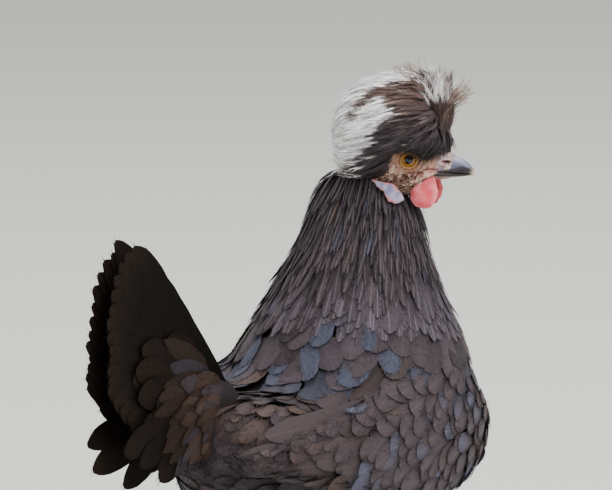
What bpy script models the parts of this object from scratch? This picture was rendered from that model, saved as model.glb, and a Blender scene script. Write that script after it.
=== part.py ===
"""A crested hen of the Polish kind, life size, standing, with her head turned to her right.

Metres, +Z up. She faces +X and her left side is +Y. The floor is at z = 0, and the
origin lies on it under the middle of her box.
"""

import math

import bmesh
import bpy
import numpy as np
from mathutils import Matrix, Vector

MM = 0.001
GAP = 0.0003
GROWN = 0.0004
SIDES = {"left": 1, "right": -1}
SQUARENESS = 2.3
ACROSS = Vector((0, 1, 0))
UP = Vector((0, 0, 1))

# Torso: station along the back, height of the widest line, half width, rise to the back
# and drop to the belly, in millimetres.
TORSO = (
    (-123, 220, 12, 8, 12),
    (-113, 217, 30, 17, 30),
    (-82, 207, 54, 30, 57),
    (-42, 198, 67, 38, 79),
    (4, 192, 75, 67, 79),
    (50, 192, 77, 77, 73),
    (92, 197, 70, 66, 62),
    (119, 204, 54, 45, 44),
    (132, 209, 32, 26, 26),
    (138, 212, 9, 8, 8),
)
TORSO_RINGS = 17
TORSO_SIDES = 18

# Neck with its cape of hackles: height, place of the axis along and across, turn in
# degrees, half width, reach to the front and to the back, in millimetres.
NECK = (
    (368, 63, -5, -66, 12, 14, 22),
    (356, 64, -5, -62, 16, 21, 36),
    (345, 64, -5, -54, 22, 29, 41),
    (333, 63, -4, -46, 31, 37, 42),
    (313, 59, -2, -32, 42, 44, 46),
    (282, 53, 0, -15, 56, 61, 59),
    (254, 48, 0, 0, 71, 78, 72),
    (236, 45, 0, 0, 79, 86, 81),
    (229, 45, 0, 0, 79, 86, 81),
)
NECK_RINGS = 9
NECK_SIDES = 14
# Hackles: the height of the roots and of the tips, in millimetres, and how many go round.
HACKLE_TIERS = (
    (361, 324, 10),
    (338, 293, 12),
    (309, 264, 14),
    (281, 240, 15),
)
HACKLE_DEPTH = 5 * MM
HACKLE_SUNK = 2.5 * MM
HACKLE_PROUD = 0.7 * MM
HACKLE_HALF_WIDTH = 7.8 * MM
HACKLE_THICK = 0.6 * MM
HACKLE_SHINGLE = 0.12

# Head, in its own frame: the origin is midway between the eyes, +X runs to the bill.
HEAD_PLACE = Vector((0.0742, -0.0303, 0.372))
HEAD_TURN = math.radians(-68)
HEAD = (
    (-31, -4, 8, 8, 9),
    (-26, -3, 13.5, 15, 17),
    (-18, -2, 16.5, 18, 21),
    (-8, -2, 17, 18.5, 22.5),
    (0, -2.5, 15.8, 17, 21),
    (8, -3.5, 12.6, 13.5, 15.5),
    (14, -4, 9.6, 10, 11.5),
    (20, -4.5, 7.0, 8.1, 10),
    (26, -5, 5.0, 7.9, 8.2),
    (29.5, -5.5, 2.5, 4.5, 4.5),
)
HEAD_RINGS = 13
HEAD_SIDES = 14
SKULL_SQUARENESS = 2.15
EYE_OUT = 11 * MM
EYE_RADIUS = 6 * MM
LID_RADIUS = 4.9 * MM
LID_THICK = 1.0 * MM
# Upper bill: station, line of the mouth, ridge, half width. Lower bill: station, line of
# the mouth, keel, half width.
BILL_UPPER = (
    (12, -8.2, 3.6, 9.2),
    (20, -9.0, 3.7, 7.2),
    (26, -9.3, 3.2, 5.6),
    (32, -9.5, 0.9, 4.4),
    (37, -9.7, -2.1, 3.3),
    (41, -10.1, -5.4, 2.2),
    (43.8, -10.9, -8.6, 1.1),
    (45.0, -11.9, -11.0, 0.4),
)
BILL_LOWER = (
    (15, -9.2, -12.6, 9.0),
    (20, -9.6, -13.2, 7.5),
    (27, -9.9, -12.9, 5.1),
    (34, -10.1, -12.2, 3.3),
    (39, -10.4, -11.5, 1.8),
    (41.5, -10.6, -11.0, 0.6),
)
HORN_LINE = (Vector((0.0285, 0, 0.0032)), Vector((0.652, 0, -0.758)))
NOSTRIL = (24.4 * MM, 5.7 * MM, -2.1 * MM)
NOSTRIL_SIZE = (2.6 * MM, 1.6 * MM, 0.8 * MM)
# The slit of the mouth behind the horn: station, height and half depth.
MOUTH_SLIT = ((9.5, -6.9, 0.05), (11.5, -7.5, 0.25), (18, -8.9, 0.25))
COMB_HORN = (20.5 * MM, 2.6 * MM, 3.2 * MM)
COMB_SIZE = (2.6 * MM, 1.5 * MM, 3.2 * MM)
WATTLE_PLACE = (11.5 * MM, 8.0 * MM, -22.8 * MM)
WATTLE_SIZE = (9.8 * MM, 1.6 * MM, 10 * MM)
WATTLE_SPLAY = math.radians(7)
LOBE_PLACE = (-12.0 * MM, 17.4 * MM, -20.3 * MM)
LOBE_SIZE = (12.6 * MM, 1.5 * MM, 4.8 * MM)
LOBE_SLOPE = math.radians(33)
LOBE_SPLAY = math.radians(14)

# Crest, in the head's frame: the middle of the globe, its reach, the share of the reach that
# the core takes, and the lean to the front of the whorl that the feathers fall away from.
CREST_MIDDLE = Vector((-12, 0, 21)) * MM
CREST_REACH = Vector((39, 36, 40)) * MM
CREST_CORE = 0.5
CREST_LEAN = math.radians(20)
# Crest feathers: the angle of the roots and of the tips from the whorl, in degrees, and how
# many go round. The first tiers stand up at the front.
CREST_TIERS = (
    (6, 22, 5),
    (18, 46, 9),
    (34, 70, 12),
    (54, 95, 13),
    (76, 118, 12),
    (98, 142, 9),
)
CREST_STANDING = 2
CREST_STAND_REACH = 0.12
# Where the feathers root, as a share of the core, and the least that one spans.
CREST_ROOT = 0.85
CREST_SHORTEST = math.radians(14)
CREST_HALF_WIDTH = 6.2 * MM
CREST_THICK = 0.6 * MM
CREST_SHINGLE = 0.12
# The lowest that the crest hangs: over the face, and behind the head.
CREST_BROW = (-7 * MM, 12 * MM)
CREST_NAPE = (-42 * MM, -11 * MM)

# Wings: station, height of the widest line, half width, rise, drop of the sheet they lie
# on, and the upper and lower edges of the folded wing on it, in millimetres.
WING = (
    (100, 197, 76, 65, 70, 206, 193),
    (88, 196, 82, 70, 75, 224, 176),
    (60, 194, 86.5, 74, 80, 236, 160),
    (20, 193, 87, 73, 84, 238, 156),
    (-28, 196, 82, 64, 82, 234, 165),
    (-76, 202, 70, 48, 64, 226, 181),
    (-116, 207, 56, 34, 46, 217, 194),
    (-138, 210, 46, 26, 34, 211, 202),
)
WING_DEPTH = 5
WING_CLEARANCE = 2.1
WING_RIM = 0.6
WING_RINGS = 8
WING_ACROSS = 5
WING_SUNK = 6
# Wing feathers by group: how many, the first and last root and tip (station, height), the
# half width, and how far the root and the tip lie off the sheet, in millimetres.
WING_FEATHERS = (
    (3, (-55, 212), (-45, 192), (-138, 209), (-118, 197), 7, (-8, -2.8)),
    (6, (40, 229), (52, 173), (-112, 219), (-26, 166), 10, (-8.5, -1.2)),
    (5, (68, 230), (74, 179), (0, 230), (20, 166), 9.5, (-8.5, 0.3)),
    (4, (90, 221), (90, 184), (42, 228), (50, 173), 9, (-8, 1.6)),
)
WING_THICK = 0.6 * MM
WING_SHINGLE = 0.11

# Tail: where each fan roots, and for its feathers, from the ridge down, the rise in degrees,
# the splay from the middle plane in degrees and the length in millimetres.
TAIL_ROOT = Vector((-0.092, 0, 0.229))
TAIL = (
    (45, 0.3, 155),
    (37.5, 0.8, 157),
    (30, 1.3, 152),
    (22.5, 1.8, 143),
    (15, 2.4, 137),
    (7, 3.0, 116),
    (-1, 3.6, 98),
)
TAIL_HALF_WIDTH = 13.5 * MM
# How far the highest feather lies off the middle plane, and how much less each one below it.
TAIL_OFF = (5.2, 0.7)
TAIL_THICK = 0.6 * MM
TAIL_SHINGLE = 0.09
TAIL_CORE_SHARE = 0.42
TAIL_CORE_DEPTH = (9, 2.4)
TAIL_CORE_MARGIN = 0.006
# Feathers that cover the root of the tail: rise in degrees of the first and the last, how
# many, length, half width, and how far the tip lies off the middle plane, in millimetres.
TAIL_COVERTS = (
    (43, 4, 3, 84, 14, 8.0),
    (38, 6, 2, 58, 15, 10.5),
)

# Legs: the thigh from the body to the hock, the shank from the hock to the foot.
LEG_OUT = 0.045
THIGH = (
    (24, 170, 22, 36),
    (16, 147, 26, 37),
    (6, 124, 22.5, 27),
    (-4, 104, 14, 16),
    (-11, 91, 8.5, 9.5),
    (-13, 85, 5, 5.5),
)
HOCK = Vector((-0.0135, 0, 0.0855))
PAD = Vector((0.0180, 0, 0.0075))
SHANK = ((0.00, 5.6, 6.0), (0.10, 5.2, 5.8), (0.25, 4.2, 4.8), (0.75, 4.0, 4.6), (0.92, 5.2, 5.6))
PAD_SIZE = (8.5 * MM, 8.5 * MM, 8.2 * MM)
SHANK_SCUTES = 8
SCUTE_RISE = 0.5
SCUTE_STEP = 0.15
TOE_START = 0.08
TOE_HEIGHT = 0.92
# Toes: heading in degrees outwards, length, radius at the pad and at the claw, and scutes.
TOES = {
    "inner": (-27, 42, 4.4, 3.0, 4),
    "middle": (3, 56, 4.6, 3.1, 5),
    "outer": (31, 42, 4.3, 3.0, 4),
    "hind": (160, 23, 3.8, 2.9, 2),
}
CLAW_LENGTH = 12 * MM
# Claw: share of its length, radius and height of its middle.
CLAW = ((0, 2.2, 3.3), (0.4, 1.8, 3.1), (1.0, 0.4, 0.7))

# Share of a feather's length and of its half width there: a broad one, a pointed one and a
# long one.
BLADE = ((0, 0.25), (0.42, 0.9), (0.82, 0.9), (1, 0.16))
LANCE = ((0, 0.3), (0.4, 0.95), (0.75, 0.9), (1, 0.12))
PLUME = ((0, 0.3), (0.3, 0.85), (0.86, 1.0), (1, 0.35))


def clear_scene():
    for item in list(bpy.data.objects):
        bpy.data.objects.remove(item)


def finish(name, colour, roughness):
    made = bpy.data.materials.new(name)
    made.use_nodes = True
    shader = made.node_tree.nodes["Principled BSDF"]
    shader.inputs["Base Color"].default_value = (*colour, 1)
    shader.inputs["Roughness"].default_value = roughness
    shader.inputs["Metallic"].default_value = 0
    return made


def smooth_rows(rows, count):
    """A Catmull-Rom curve through the key rows, read at `count` even steps."""
    keys = np.array(rows, float)
    padded = np.vstack([2 * keys[0] - keys[1], keys, 2 * keys[-1] - keys[-2]])
    read = []
    for place in np.linspace(0, len(keys) - 1, count):
        first = min(int(place), len(keys) - 2)
        a, b, c, d = padded[first : first + 4]
        t = place - first
        read.append(
            b + 0.5 * t * (c - a + t * (2 * a - 5 * b + 4 * c - d + t * (3 * (b - c) + d - a)))
        )
    return read


def oval(centre, side, up, half_width, rise, drop, sides, power=2.0):
    """One closed ring: an oval whose upper and lower halves may differ in height."""
    ring = []
    for k in range(sides):
        angle = 2 * math.pi * k / sides
        across, along = math.sin(angle), math.cos(angle)
        across = math.copysign(abs(across) ** (2 / power), across)
        along = math.copysign(abs(along) ** (2 / power), along)
        ring.append(
            centre + side * (half_width * across) + up * ((rise if along > 0 else drop) * along)
        )
    return ring


def mesh_object(name, bm):
    bmesh.ops.recalc_face_normals(bm, faces=bm.faces[:])
    mesh = bpy.data.meshes.new(name)
    bm.to_mesh(mesh)
    bm.free()
    made = bpy.data.objects.new(name, mesh)
    bpy.context.scene.collection.objects.link(made)
    return made


def loft(name, rings):
    """A closed solid through rings of equally many points, each end closed by a fan."""
    bm = bmesh.new()
    laid = [[bm.verts.new(point) for point in ring] for ring in rings]
    count = len(laid[0])
    for low, high in zip(laid, laid[1:]):
        for k in range(count):
            after = (k + 1) % count
            bm.faces.new((low[k], low[after], high[after], high[k]))
    for ring in (laid[0], laid[-1]):
        pole = bm.verts.new(sum((v.co for v in ring), Vector()) / count)
        for k in range(count):
            bm.faces.new((ring[k], ring[(k + 1) % count], pole))
    bmesh.ops.triangulate(bm, faces=[f for f in bm.faces if len(f.verts) > 3])
    return mesh_object(name, bm)


def ball(name, centre, size, segments=16, rings=10, turn=None):
    """A UV sphere of unlike half sizes, turned and then placed."""
    bm = bmesh.new()
    bmesh.ops.create_uvsphere(bm, u_segments=segments, v_segments=rings, radius=1)
    matrix = Matrix.Translation(centre) @ (turn or Matrix()) @ Matrix.Diagonal((*size, 1))
    bmesh.ops.transform(bm, matrix=matrix, verts=bm.verts[:])
    return mesh_object(name, bm)


def vane(path, normals, half_width, thick, blade=BLADE, shingle=0.0):
    """One feather: a flat closed blade along a path, split alike on both faces.

    With a shingle value its left edge lies off the surface and its right edge on it.
    """
    bm = bmesh.new()
    sections = []
    for k, (point, normal) in enumerate(zip(path, normals)):
        before, after = path[max(k - 1, 0)], path[min(k + 1, len(path) - 1)]
        across = normal.cross(after - before).normalized()
        out = (after - before).cross(across).normalized()
        reach = across * (half_width * blade[k][1]) + out * (half_width * shingle)
        skin = out * (thick / 2)
        signs = ((1, 1), (-1, 1), (-1, -1), (1, -1))
        sections.append([bm.verts.new(point + reach * a + skin * b) for a, b in signs])
    for low, high in zip(sections, sections[1:]):
        bm.faces.new((low[0], low[1], high[1]))
        bm.faces.new((low[0], high[1], high[0]))
        bm.faces.new((low[3], high[2], low[2]))
        bm.faces.new((low[3], high[3], high[2]))
        for a, b in ((1, 2), (3, 0)):
            bm.faces.new((low[a], low[b], high[b]))
            bm.faces.new((low[a], high[b], high[a]))
    for end in (sections[0], sections[-1]):
        bm.faces.new((end[0], end[1], end[2]))
        bm.faces.new((end[0], end[2], end[3]))
    return mesh_object("vane", bm)


def volume(mesh):
    """The volume that a mesh encloses, or nothing where it isn't closed."""
    bm = bmesh.new()
    bm.from_mesh(mesh)
    closed = all(len(edge.link_faces) == 2 for edge in bm.edges)
    inside = bm.calc_volume(signed=True)
    bm.free()
    return inside if closed else 0.0


def keep_largest(item):
    """Drops every closed surface of a mesh but the largest, such as a scrap left by a cut."""
    bm = bmesh.new()
    bm.from_mesh(item.data)
    left, groups = set(bm.verts), []
    while left:
        group, edge = set(), [left.pop()]
        while edge:
            vert = edge.pop()
            group.add(vert)
            near = {e.other_vert(vert) for e in vert.link_edges} & left
            left -= near
            edge.extend(near)
        groups.append(group)
    largest = max(groups, key=len)
    spare = [v for v in bm.verts if v not in largest]
    bmesh.ops.delete(bm, geom=spare, context="VERTS")
    bm.to_mesh(item.data)
    bm.free()
    return item


def combined(item, operation, least, **operand):
    """Applies one Boolean. Where EXACT loses more than it should, MANIFOLD takes its place."""
    before = volume(item.data)
    for solver in ("EXACT", "MANIFOLD"):
        step = item.modifiers.new("step", "BOOLEAN")
        step.operation = operation
        step.solver = solver
        for name, value in operand.items():
            setattr(step, name, value)
        graph = bpy.context.evaluated_depsgraph_get()
        mesh = bpy.data.meshes.new_from_object(item.evaluated_get(graph))
        item.modifiers.clear()
        if volume(mesh) > before * least:
            break
    item.data = mesh


def united(item, pieces):
    """Joins closed pieces to an object by one union on a collection, and removes them."""
    group = bpy.data.collections.new(item.name + "_pieces")
    for piece in pieces:
        bpy.context.scene.collection.objects.unlink(piece)
        group.objects.link(piece)
    bpy.context.scene.collection.children.link(group)
    combined(item, "UNION", 1.0, operand_type="COLLECTION", collection=group)
    for piece in pieces:
        bpy.data.objects.remove(piece)
    bpy.data.collections.remove(group)
    return keep_largest(item)


def grown(item, by=GROWN):
    """A helper copy of a smooth closed shape, moved out along its normals."""
    helper = bpy.data.objects.new(item.name + "_grown", item.data.copy())
    bpy.context.scene.collection.objects.link(helper)
    bm = bmesh.new()
    bm.from_mesh(helper.data)
    bm.normal_update()
    places = [v.co + v.normal * by for v in bm.verts]
    for vert, place in zip(bm.verts, places):
        vert.co = place
    bm.to_mesh(helper.data)
    bm.free()
    helper.hide_render = True
    helper.display_type = "WIRE"
    return helper


def cut(item, cutters, least=0.3):
    """Takes cutters out of an object, one after another, and keeps its largest piece."""
    for cutter in cutters:
        combined(item, "DIFFERENCE", least, object=cutter)
    return keep_largest(item)


def remove(items):
    for item in items:
        bpy.data.objects.remove(item)


def halved(item, point, normal):
    """Keeps the side of a plane that its normal points to, closed again."""
    bm = bmesh.new()
    bm.from_mesh(item.data)
    geometry = bm.verts[:] + bm.edges[:] + bm.faces[:]
    done = bmesh.ops.bisect_plane(
        bm, geom=geometry, plane_co=point, plane_no=normal, clear_inner=True
    )
    rim = [e for e in done["geom_cut"] if isinstance(e, bmesh.types.BMEdge)]
    bmesh.ops.triangle_fill(bm, edges=rim, use_beauty=True)
    bmesh.ops.recalc_face_normals(bm, faces=bm.faces[:])
    bm.to_mesh(item.data)
    bm.free()
    return item


def head_frame():
    return Matrix.Translation(HEAD_PLACE) @ Matrix.Rotation(HEAD_TURN, 4, "Z")


def placed(items, matrix):
    for item in items:
        item.data.transform(matrix)


def torso():
    rings = []
    for x, z, half_width, rise, drop in smooth_rows(TORSO, TORSO_RINGS):
        centre = Vector((x, 0, z)) * MM
        size = (half_width * MM, rise * MM, drop * MM)
        rings.append(oval(centre, ACROSS, UP, *size, TORSO_SIDES, SQUARENESS))
    return loft("torso", rings)


def neck_ring(row, inset):
    z, x, y, turn, half_width, front, back = row
    heading = math.radians(turn)
    ahead = Vector((math.cos(heading), math.sin(heading), 0))
    side = Vector((-math.sin(heading), math.cos(heading), 0))
    sizes = [value * MM - inset for value in (half_width, front, back)]
    return oval(Vector((x, y, z)) * MM, side, ahead, *sizes, NECK_SIDES)


def neck_form(name, inset):
    return loft(name, [neck_ring(row, inset) for row in smooth_rows(NECK, NECK_RINGS)])


def neck_point(rows, height, angle, inset):
    """A point under the cape's outer surface, by its height and the angle from the front."""
    x, y, turn, half_width, front, back = (
        np.interp(-height, -rows[:, 0], rows[:, k]) for k in range(1, 7)
    )
    heading = math.radians(turn)
    ahead = Vector((math.cos(heading), math.sin(heading), 0))
    side = Vector((-math.sin(heading), math.cos(heading), 0))
    along = (front if math.cos(angle) > 0 else back) * MM - inset
    across = half_width * MM - inset
    middle = Vector((x, y, height)) * MM
    return middle + ahead * (along * math.cos(angle)) + side * (across * math.sin(angle))


def hackles():
    """Tiers of pointed feathers that lie down the neck, each tip over the tier below."""
    draw = np.random.default_rng(11)
    rows = np.array(smooth_rows(NECK, 80))
    made = []
    for tier, (root, tip, count) in enumerate(HACKLE_TIERS):
        for k in range(count):
            angle = 2 * math.pi * (k + 0.5 * (tier % 2) + draw.uniform(-0.05, 0.05)) / count
            end = tip + draw.uniform(-2.5, 2.5)
            path, normals = [], []
            for share, _ in LANCE:
                height = root + (end - root) * share
                inset = HACKLE_DEPTH + HACKLE_SUNK
                inset += (HACKLE_PROUD - inset) * share**0.6
                point = neck_point(rows, height, angle, inset)
                down = neck_point(rows, height - 1, angle, inset) - point
                round_it = neck_point(rows, height, angle + 0.05, inset) - point
                path.append(point)
                normals.append(down.cross(round_it).normalized())
            made.append(vane(path, normals, HACKLE_HALF_WIDTH, HACKLE_THICK, LANCE, HACKLE_SHINGLE))
    return made


def neck():
    return united(neck_form("neck", HACKLE_DEPTH), hackles())


def skull():
    rings = []
    for x, z, half_width, rise, drop in smooth_rows(HEAD, HEAD_RINGS):
        centre = Vector((x, 0, z)) * MM
        size = (half_width * MM, rise * MM, drop * MM)
        rings.append(oval(centre, ACROSS, UP, *size, HEAD_SIDES, SKULL_SQUARENESS))
    return loft("head", rings)


def lid(side):
    """The bare ring of skin round one eye."""
    bm = bmesh.new()
    centre = Vector((0, side * (EYE_OUT + 4.0 * MM), 0))
    around, section = 12, 6
    rings = []
    for k in range(around):
        angle = 2 * math.pi * k / around
        out = Vector((math.cos(angle), 0, math.sin(angle)))
        middle = centre + Vector((out.x * LID_RADIUS * 1.1, 0, out.z * LID_RADIUS))
        ring = []
        for n in range(section):
            turn = 2 * math.pi * n / section
            step = out * (LID_THICK * math.cos(turn)) + Vector((0, LID_THICK * math.sin(turn), 0))
            ring.append(bm.verts.new(middle + step))
        rings.append(ring)
    for k, ring in enumerate(rings):
        after = rings[(k + 1) % around]
        for n in range(section):
            bm.faces.new((ring[n], ring[(n + 1) % section], after[(n + 1) % section], after[n]))
    return mesh_object("lid", bm)


def bill(name, rows, lower):
    """One horny sheath of the bill: flat along the mouth, round over the ridge or keel."""
    rings = []
    for x, mouth, edge, half_width in smooth_rows(rows, 8):
        centre = Vector((x, 0, mouth)) * MM
        reach, flat = abs(edge - mouth) * MM, 0.15 * MM
        rise, drop = (flat, reach) if lower else (reach, flat)
        rings.append(oval(centre, ACROSS, UP, half_width * MM, rise, drop, 12))
    return loft(name, rings)


def eye(name, side):
    return ball(name, Vector((0, side * EYE_OUT, 0)), (EYE_RADIUS,) * 3, 12, 8)


def wattle(name, side):
    """A round lappet that hangs from the jaw, thicker at its root."""
    turn = Matrix.Rotation(side * WATTLE_SPLAY, 4, "X")
    x, y, z = WATTLE_PLACE
    return ball(name, Vector((x, side * y, z)), WATTLE_SIZE, 14, 8, turn)


def ear_lobe(name, side):
    turn = Matrix.Rotation(side * LOBE_SPLAY, 4, "X") @ Matrix.Rotation(LOBE_SLOPE, 4, "Y")
    x, y, z = LOBE_PLACE
    return ball(name, Vector((x, side * y, z)), LOBE_SIZE, 12, 6, turn)


def mouth_slit():
    """The thin wedge from the bill back to the corners of the mouth."""
    rings = []
    for x, z, half_depth in MOUTH_SLIT:
        centre = Vector((x, 0, z)) * MM
        rings.append(oval(centre, ACROSS, UP, 16 * MM, half_depth * MM, half_depth * MM, 8))
    return loft("mouth_slit", rings)


def head():
    """The head and all that is set in it, made in the head's frame and then placed."""
    made = skull()
    upper = halved(bill("bill_upper", BILL_UPPER, False), *HORN_LINE)
    lower = bill("bill_lower", BILL_LOWER, True)
    eyes = [eye(f"eye_{name}", side) for name, side in SIDES.items()]
    x, y, z = COMB_HORN
    horns = [ball("horn", Vector((x, side * y, z)), COMB_SIZE, 8, 6) for side in (1, -1)]
    united(made, [lid(1), lid(-1), *horns])
    x, y, z = NOSTRIL
    cutters = [grown(item) for item in (upper, lower, *eyes)]
    cutters += [ball("nostril", Vector((x, side * y, z)), NOSTRIL_SIZE, 8, 6) for side in (1, -1)]
    cutters.append(mouth_slit())
    cut(made, cutters)
    remove(cutters)
    hanging = [wattle(f"wattle_{name}", side) for name, side in SIDES.items()]
    hanging += [ear_lobe(f"ear_lobe_{name}", side) for name, side in SIDES.items()]
    clearance = skull()
    around = grown(clearance, GAP * 2)
    for item in hanging:
        cut(item, [around])
    remove([clearance, around])
    placed([made, upper, lower, *eyes, *hanging], head_frame())
    return made, [upper, lower, *eyes, *hanging]


def crest_point(polar, round_it, reach):
    """A point of the crest, by its angle from the whorl, the angle round it and its reach."""
    whorl = Vector((math.sin(CREST_LEAN), 0, math.cos(CREST_LEAN)))
    ahead = Vector((math.cos(CREST_LEAN), 0, -math.sin(CREST_LEAN)))
    flat = ahead * math.cos(round_it) + ACROSS * math.sin(round_it)
    way = whorl * math.cos(polar) + flat * math.sin(polar)
    return CREST_MIDDLE + CREST_REACH * reach * way


def crest_floor(x):
    """How low the crest may hang at a station of the head."""
    share = (x - CREST_NAPE[0]) / (CREST_BROW[0] - CREST_NAPE[0])
    return CREST_NAPE[1] + (CREST_BROW[1] - CREST_NAPE[1]) * min(max(share, 0), 1)


def crest_feathers():
    """Tiers of feathers that rise from the core, arch over and fall away from the whorl."""
    draw = np.random.default_rng(5)
    made = []
    for tier, (first, last, count) in enumerate(CREST_TIERS):
        for k in range(count):
            round_it = 2 * math.pi * (k + 0.5 * (tier % 2) + draw.uniform(-0.05, 0.05)) / count
            reach = 1 + draw.uniform(-0.03, 0.02)
            start, end = math.radians(first), math.radians(last + draw.uniform(-4, 4))
            if tier < CREST_STANDING and math.cos(round_it) > 0.3:
                reach += CREST_STAND_REACH
            tip = crest_point(end, round_it, reach)
            while tip.z < crest_floor(tip.x):
                end -= math.radians(2)
                tip = crest_point(end, round_it, reach)
            if end - start < CREST_SHORTEST:
                continue
            path, normals = [], []
            low = CREST_CORE * CREST_ROOT
            for share, _ in BLADE:
                out = low + (reach - low) * (1 - (1 - share) ** 1.7)
                point = crest_point(start + (end - start) * share**1.2, round_it, out)
                path.append(point)
                normals.append((point - CREST_MIDDLE).normalized())
            made.append(vane(path, normals, CREST_HALF_WIDTH, CREST_THICK, BLADE, CREST_SHINGLE))
    return made


def crest():
    made = ball("crest", CREST_MIDDLE, CREST_REACH * CREST_CORE, 12, 8)
    united(made, crest_feathers())
    placed([made], head_frame())
    return made


def flank(z, half_width, rise, drop, height):
    """How far out an oval section reaches at one height."""
    share = abs(height - z) / (rise if height > z else drop)
    return half_width * (1 - min(share, 0.98) ** SQUARENESS) ** (1 / SQUARENESS)


def wing_section(row, body):
    """One section of the wing's core: out along its face and back just off the torso."""
    x, z, half_width, rise, drop, top, bottom = row
    sizes = [np.interp(x, body[:, 0], body[:, k]) for k in range(1, 5)]
    outer, inner = [], []
    for k in range(WING_ACROSS):
        height = top + (bottom - top) * k / (WING_ACROSS - 1)
        y = flank(z, half_width, rise, drop, height) - WING_SUNK
        outer.append((x, y, height))
        if 0 < k < WING_ACROSS - 1:
            lowest = min(flank(*sizes, height) + WING_CLEARANCE, y - WING_RIM)
            inner.append((x, max(lowest, y - WING_DEPTH), height))
    return outer + inner[::-1]


def wing_point(rows, side, x, height, lift):
    sizes = [np.interp(-x, -rows[:, 0], rows[:, k]) for k in range(1, 5)]
    return Vector((x, side * (flank(*sizes, height) + lift), height)) * MM


def wing_feathers(side):
    """The folded flight feathers and their coverts, each group over the one behind it."""
    rows = np.array(smooth_rows(WING, 60))
    made = []
    for count, first_root, last_root, first_tip, last_tip, half_width, (low, high) in WING_FEATHERS:
        for k in range(count):
            share = k / (count - 1)
            root = Vector(first_root).lerp(Vector(last_root), share)
            tip = Vector(first_tip).lerp(Vector(last_tip), share)
            path, normals = [], []
            for along, _ in PLUME:
                x, height = root.lerp(tip, along)
                lift = low + (high - low) * (1 - (1 - along) ** 4)
                point = wing_point(rows, side, x, height, lift)
                back = wing_point(rows, side, x - 1, height, lift) - point
                rise = wing_point(rows, side, x, height + 1, lift) - point
                path.append(point)
                normals.append(back.cross(rise).normalized() * side)
            shingle = WING_SHINGLE * side
            made.append(vane(path, normals, half_width * MM, WING_THICK, PLUME, shingle))
    return made


def wing(name, side):
    body = np.array(smooth_rows(TORSO, TORSO_RINGS))
    rings = [
        [Vector((x, side * y, z)) * MM for x, y, z in wing_section(row, body)]
        for row in smooth_rows(WING, WING_RINGS)
    ]
    return united(loft(name, rings), wing_feathers(side))


def tail_point(rise, splay, away):
    """A point of the tail's fan, by its rise and splay in degrees and its way from the root."""
    lean, turn = math.radians(rise), math.radians(splay)
    flat = away * math.cos(lean)
    return TAIL_ROOT + Vector((-flat * math.cos(turn), flat * math.sin(turn), away * math.sin(lean)))


def tail_core(name, side):
    """The inner half of the fan, which its feathers are rooted in."""
    rings = []
    for share in (0.0, 0.4, 1.0):
        depth = (TAIL_CORE_DEPTH[0] + (TAIL_CORE_DEPTH[1] - TAIL_CORE_DEPTH[0]) * share**0.6) * MM
        outer, inner = [], []
        for k, (rise, splay, length) in enumerate(TAIL[::2]):
            point = tail_point(rise, splay, length * MM * TAIL_CORE_SHARE * share)
            height = point.z + TAIL_CORE_MARGIN * (1 - 2 * k / 3)
            outer.append(Vector((point.x, side * (point.y + GAP + depth), height)))
            inner.append(Vector((point.x, side * (point.y + GAP), height)))
        rings.append(outer + inner[::-1])
    return loft(name, rings)


def tail_feather(side, rise, splay, length, half_width, low, high):
    """One feather of the fan: low and high are how far its ends lie off the middle plane."""
    path = []
    for share, _ in PLUME:
        point = tail_point(rise, splay, length * share)
        off = low + (high - low) * (1 - (1 - share) ** 2)
        path.append(Vector((point.x, side * (point.y + off), point.z)))
    normals = [ACROSS * side] * len(path)
    return vane(path, normals, half_width, TAIL_THICK, PLUME, TAIL_SHINGLE * side)


def tail_half(name, side):
    """One side of the roof-shaped tail: seven long feathers, and the coverts over their roots."""
    made = []
    for k, (rise, splay, length) in enumerate(TAIL):
        off = (TAIL_OFF[0] - TAIL_OFF[1] * k) * MM
        made.append(tail_feather(side, rise, splay, length * MM, TAIL_HALF_WIDTH, off, off))
    for first, last, count, length, half_width, off in TAIL_COVERTS:
        for k in range(count):
            share = k / (count - 1)
            rise = first + (last - first) * share
            sizes = (length * MM, half_width * MM, 3 * MM, off * MM)
            made.append(tail_feather(side, rise, 1 + 3 * share, *sizes))
    return united(tail_core(name, side), made)


def thigh(name, side):
    ahead = Vector((1, 0, -0.35)).normalized()
    rings = []
    for x, z, half_width, half_depth in smooth_rows(THIGH, 7):
        centre = Vector((x * MM, side * LEG_OUT, z * MM))
        size = (half_width * MM, half_depth * MM, half_depth * MM)
        rings.append(oval(centre, ACROSS, ahead, *size, 12))
    return loft(name, rings)


def scute_steps(count):
    """Places along a scaled leg or toe, as shares, with the rise of the scute there."""
    steps = []
    for k in range(count):
        start = k + SCUTE_STEP if k else 0
        steps += [(start / count, 0), ((k + 1) / count, SCUTE_RISE)]
    return steps


def shank(name, side):
    """The bare scaled leg, each scute raised at its lower edge, and the pad it stands on."""
    ahead = ACROSS.cross(PAD - HOCK).normalized()
    shares, widths, depths = np.array(SHANK).T
    rings = []
    for step, rise in scute_steps(SHANK_SCUTES):
        share = step * shares[-1]
        centre = HOCK.lerp(PAD, share) + ACROSS * (side * LEG_OUT)
        width, depth = np.interp(share, shares, widths), np.interp(share, shares, depths)
        size = (width * MM, (depth + rise) * MM, depth * MM)
        rings.append(oval(centre, ACROSS, ahead, *size, 8))
    made = loft(name, rings)
    pad = ball("pad", PAD + ACROSS * (side * LEG_OUT), PAD_SIZE, 10, 6)
    united(made, [pad])
    return halved(made, Vector((0, 0, 0)), UP)


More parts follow.
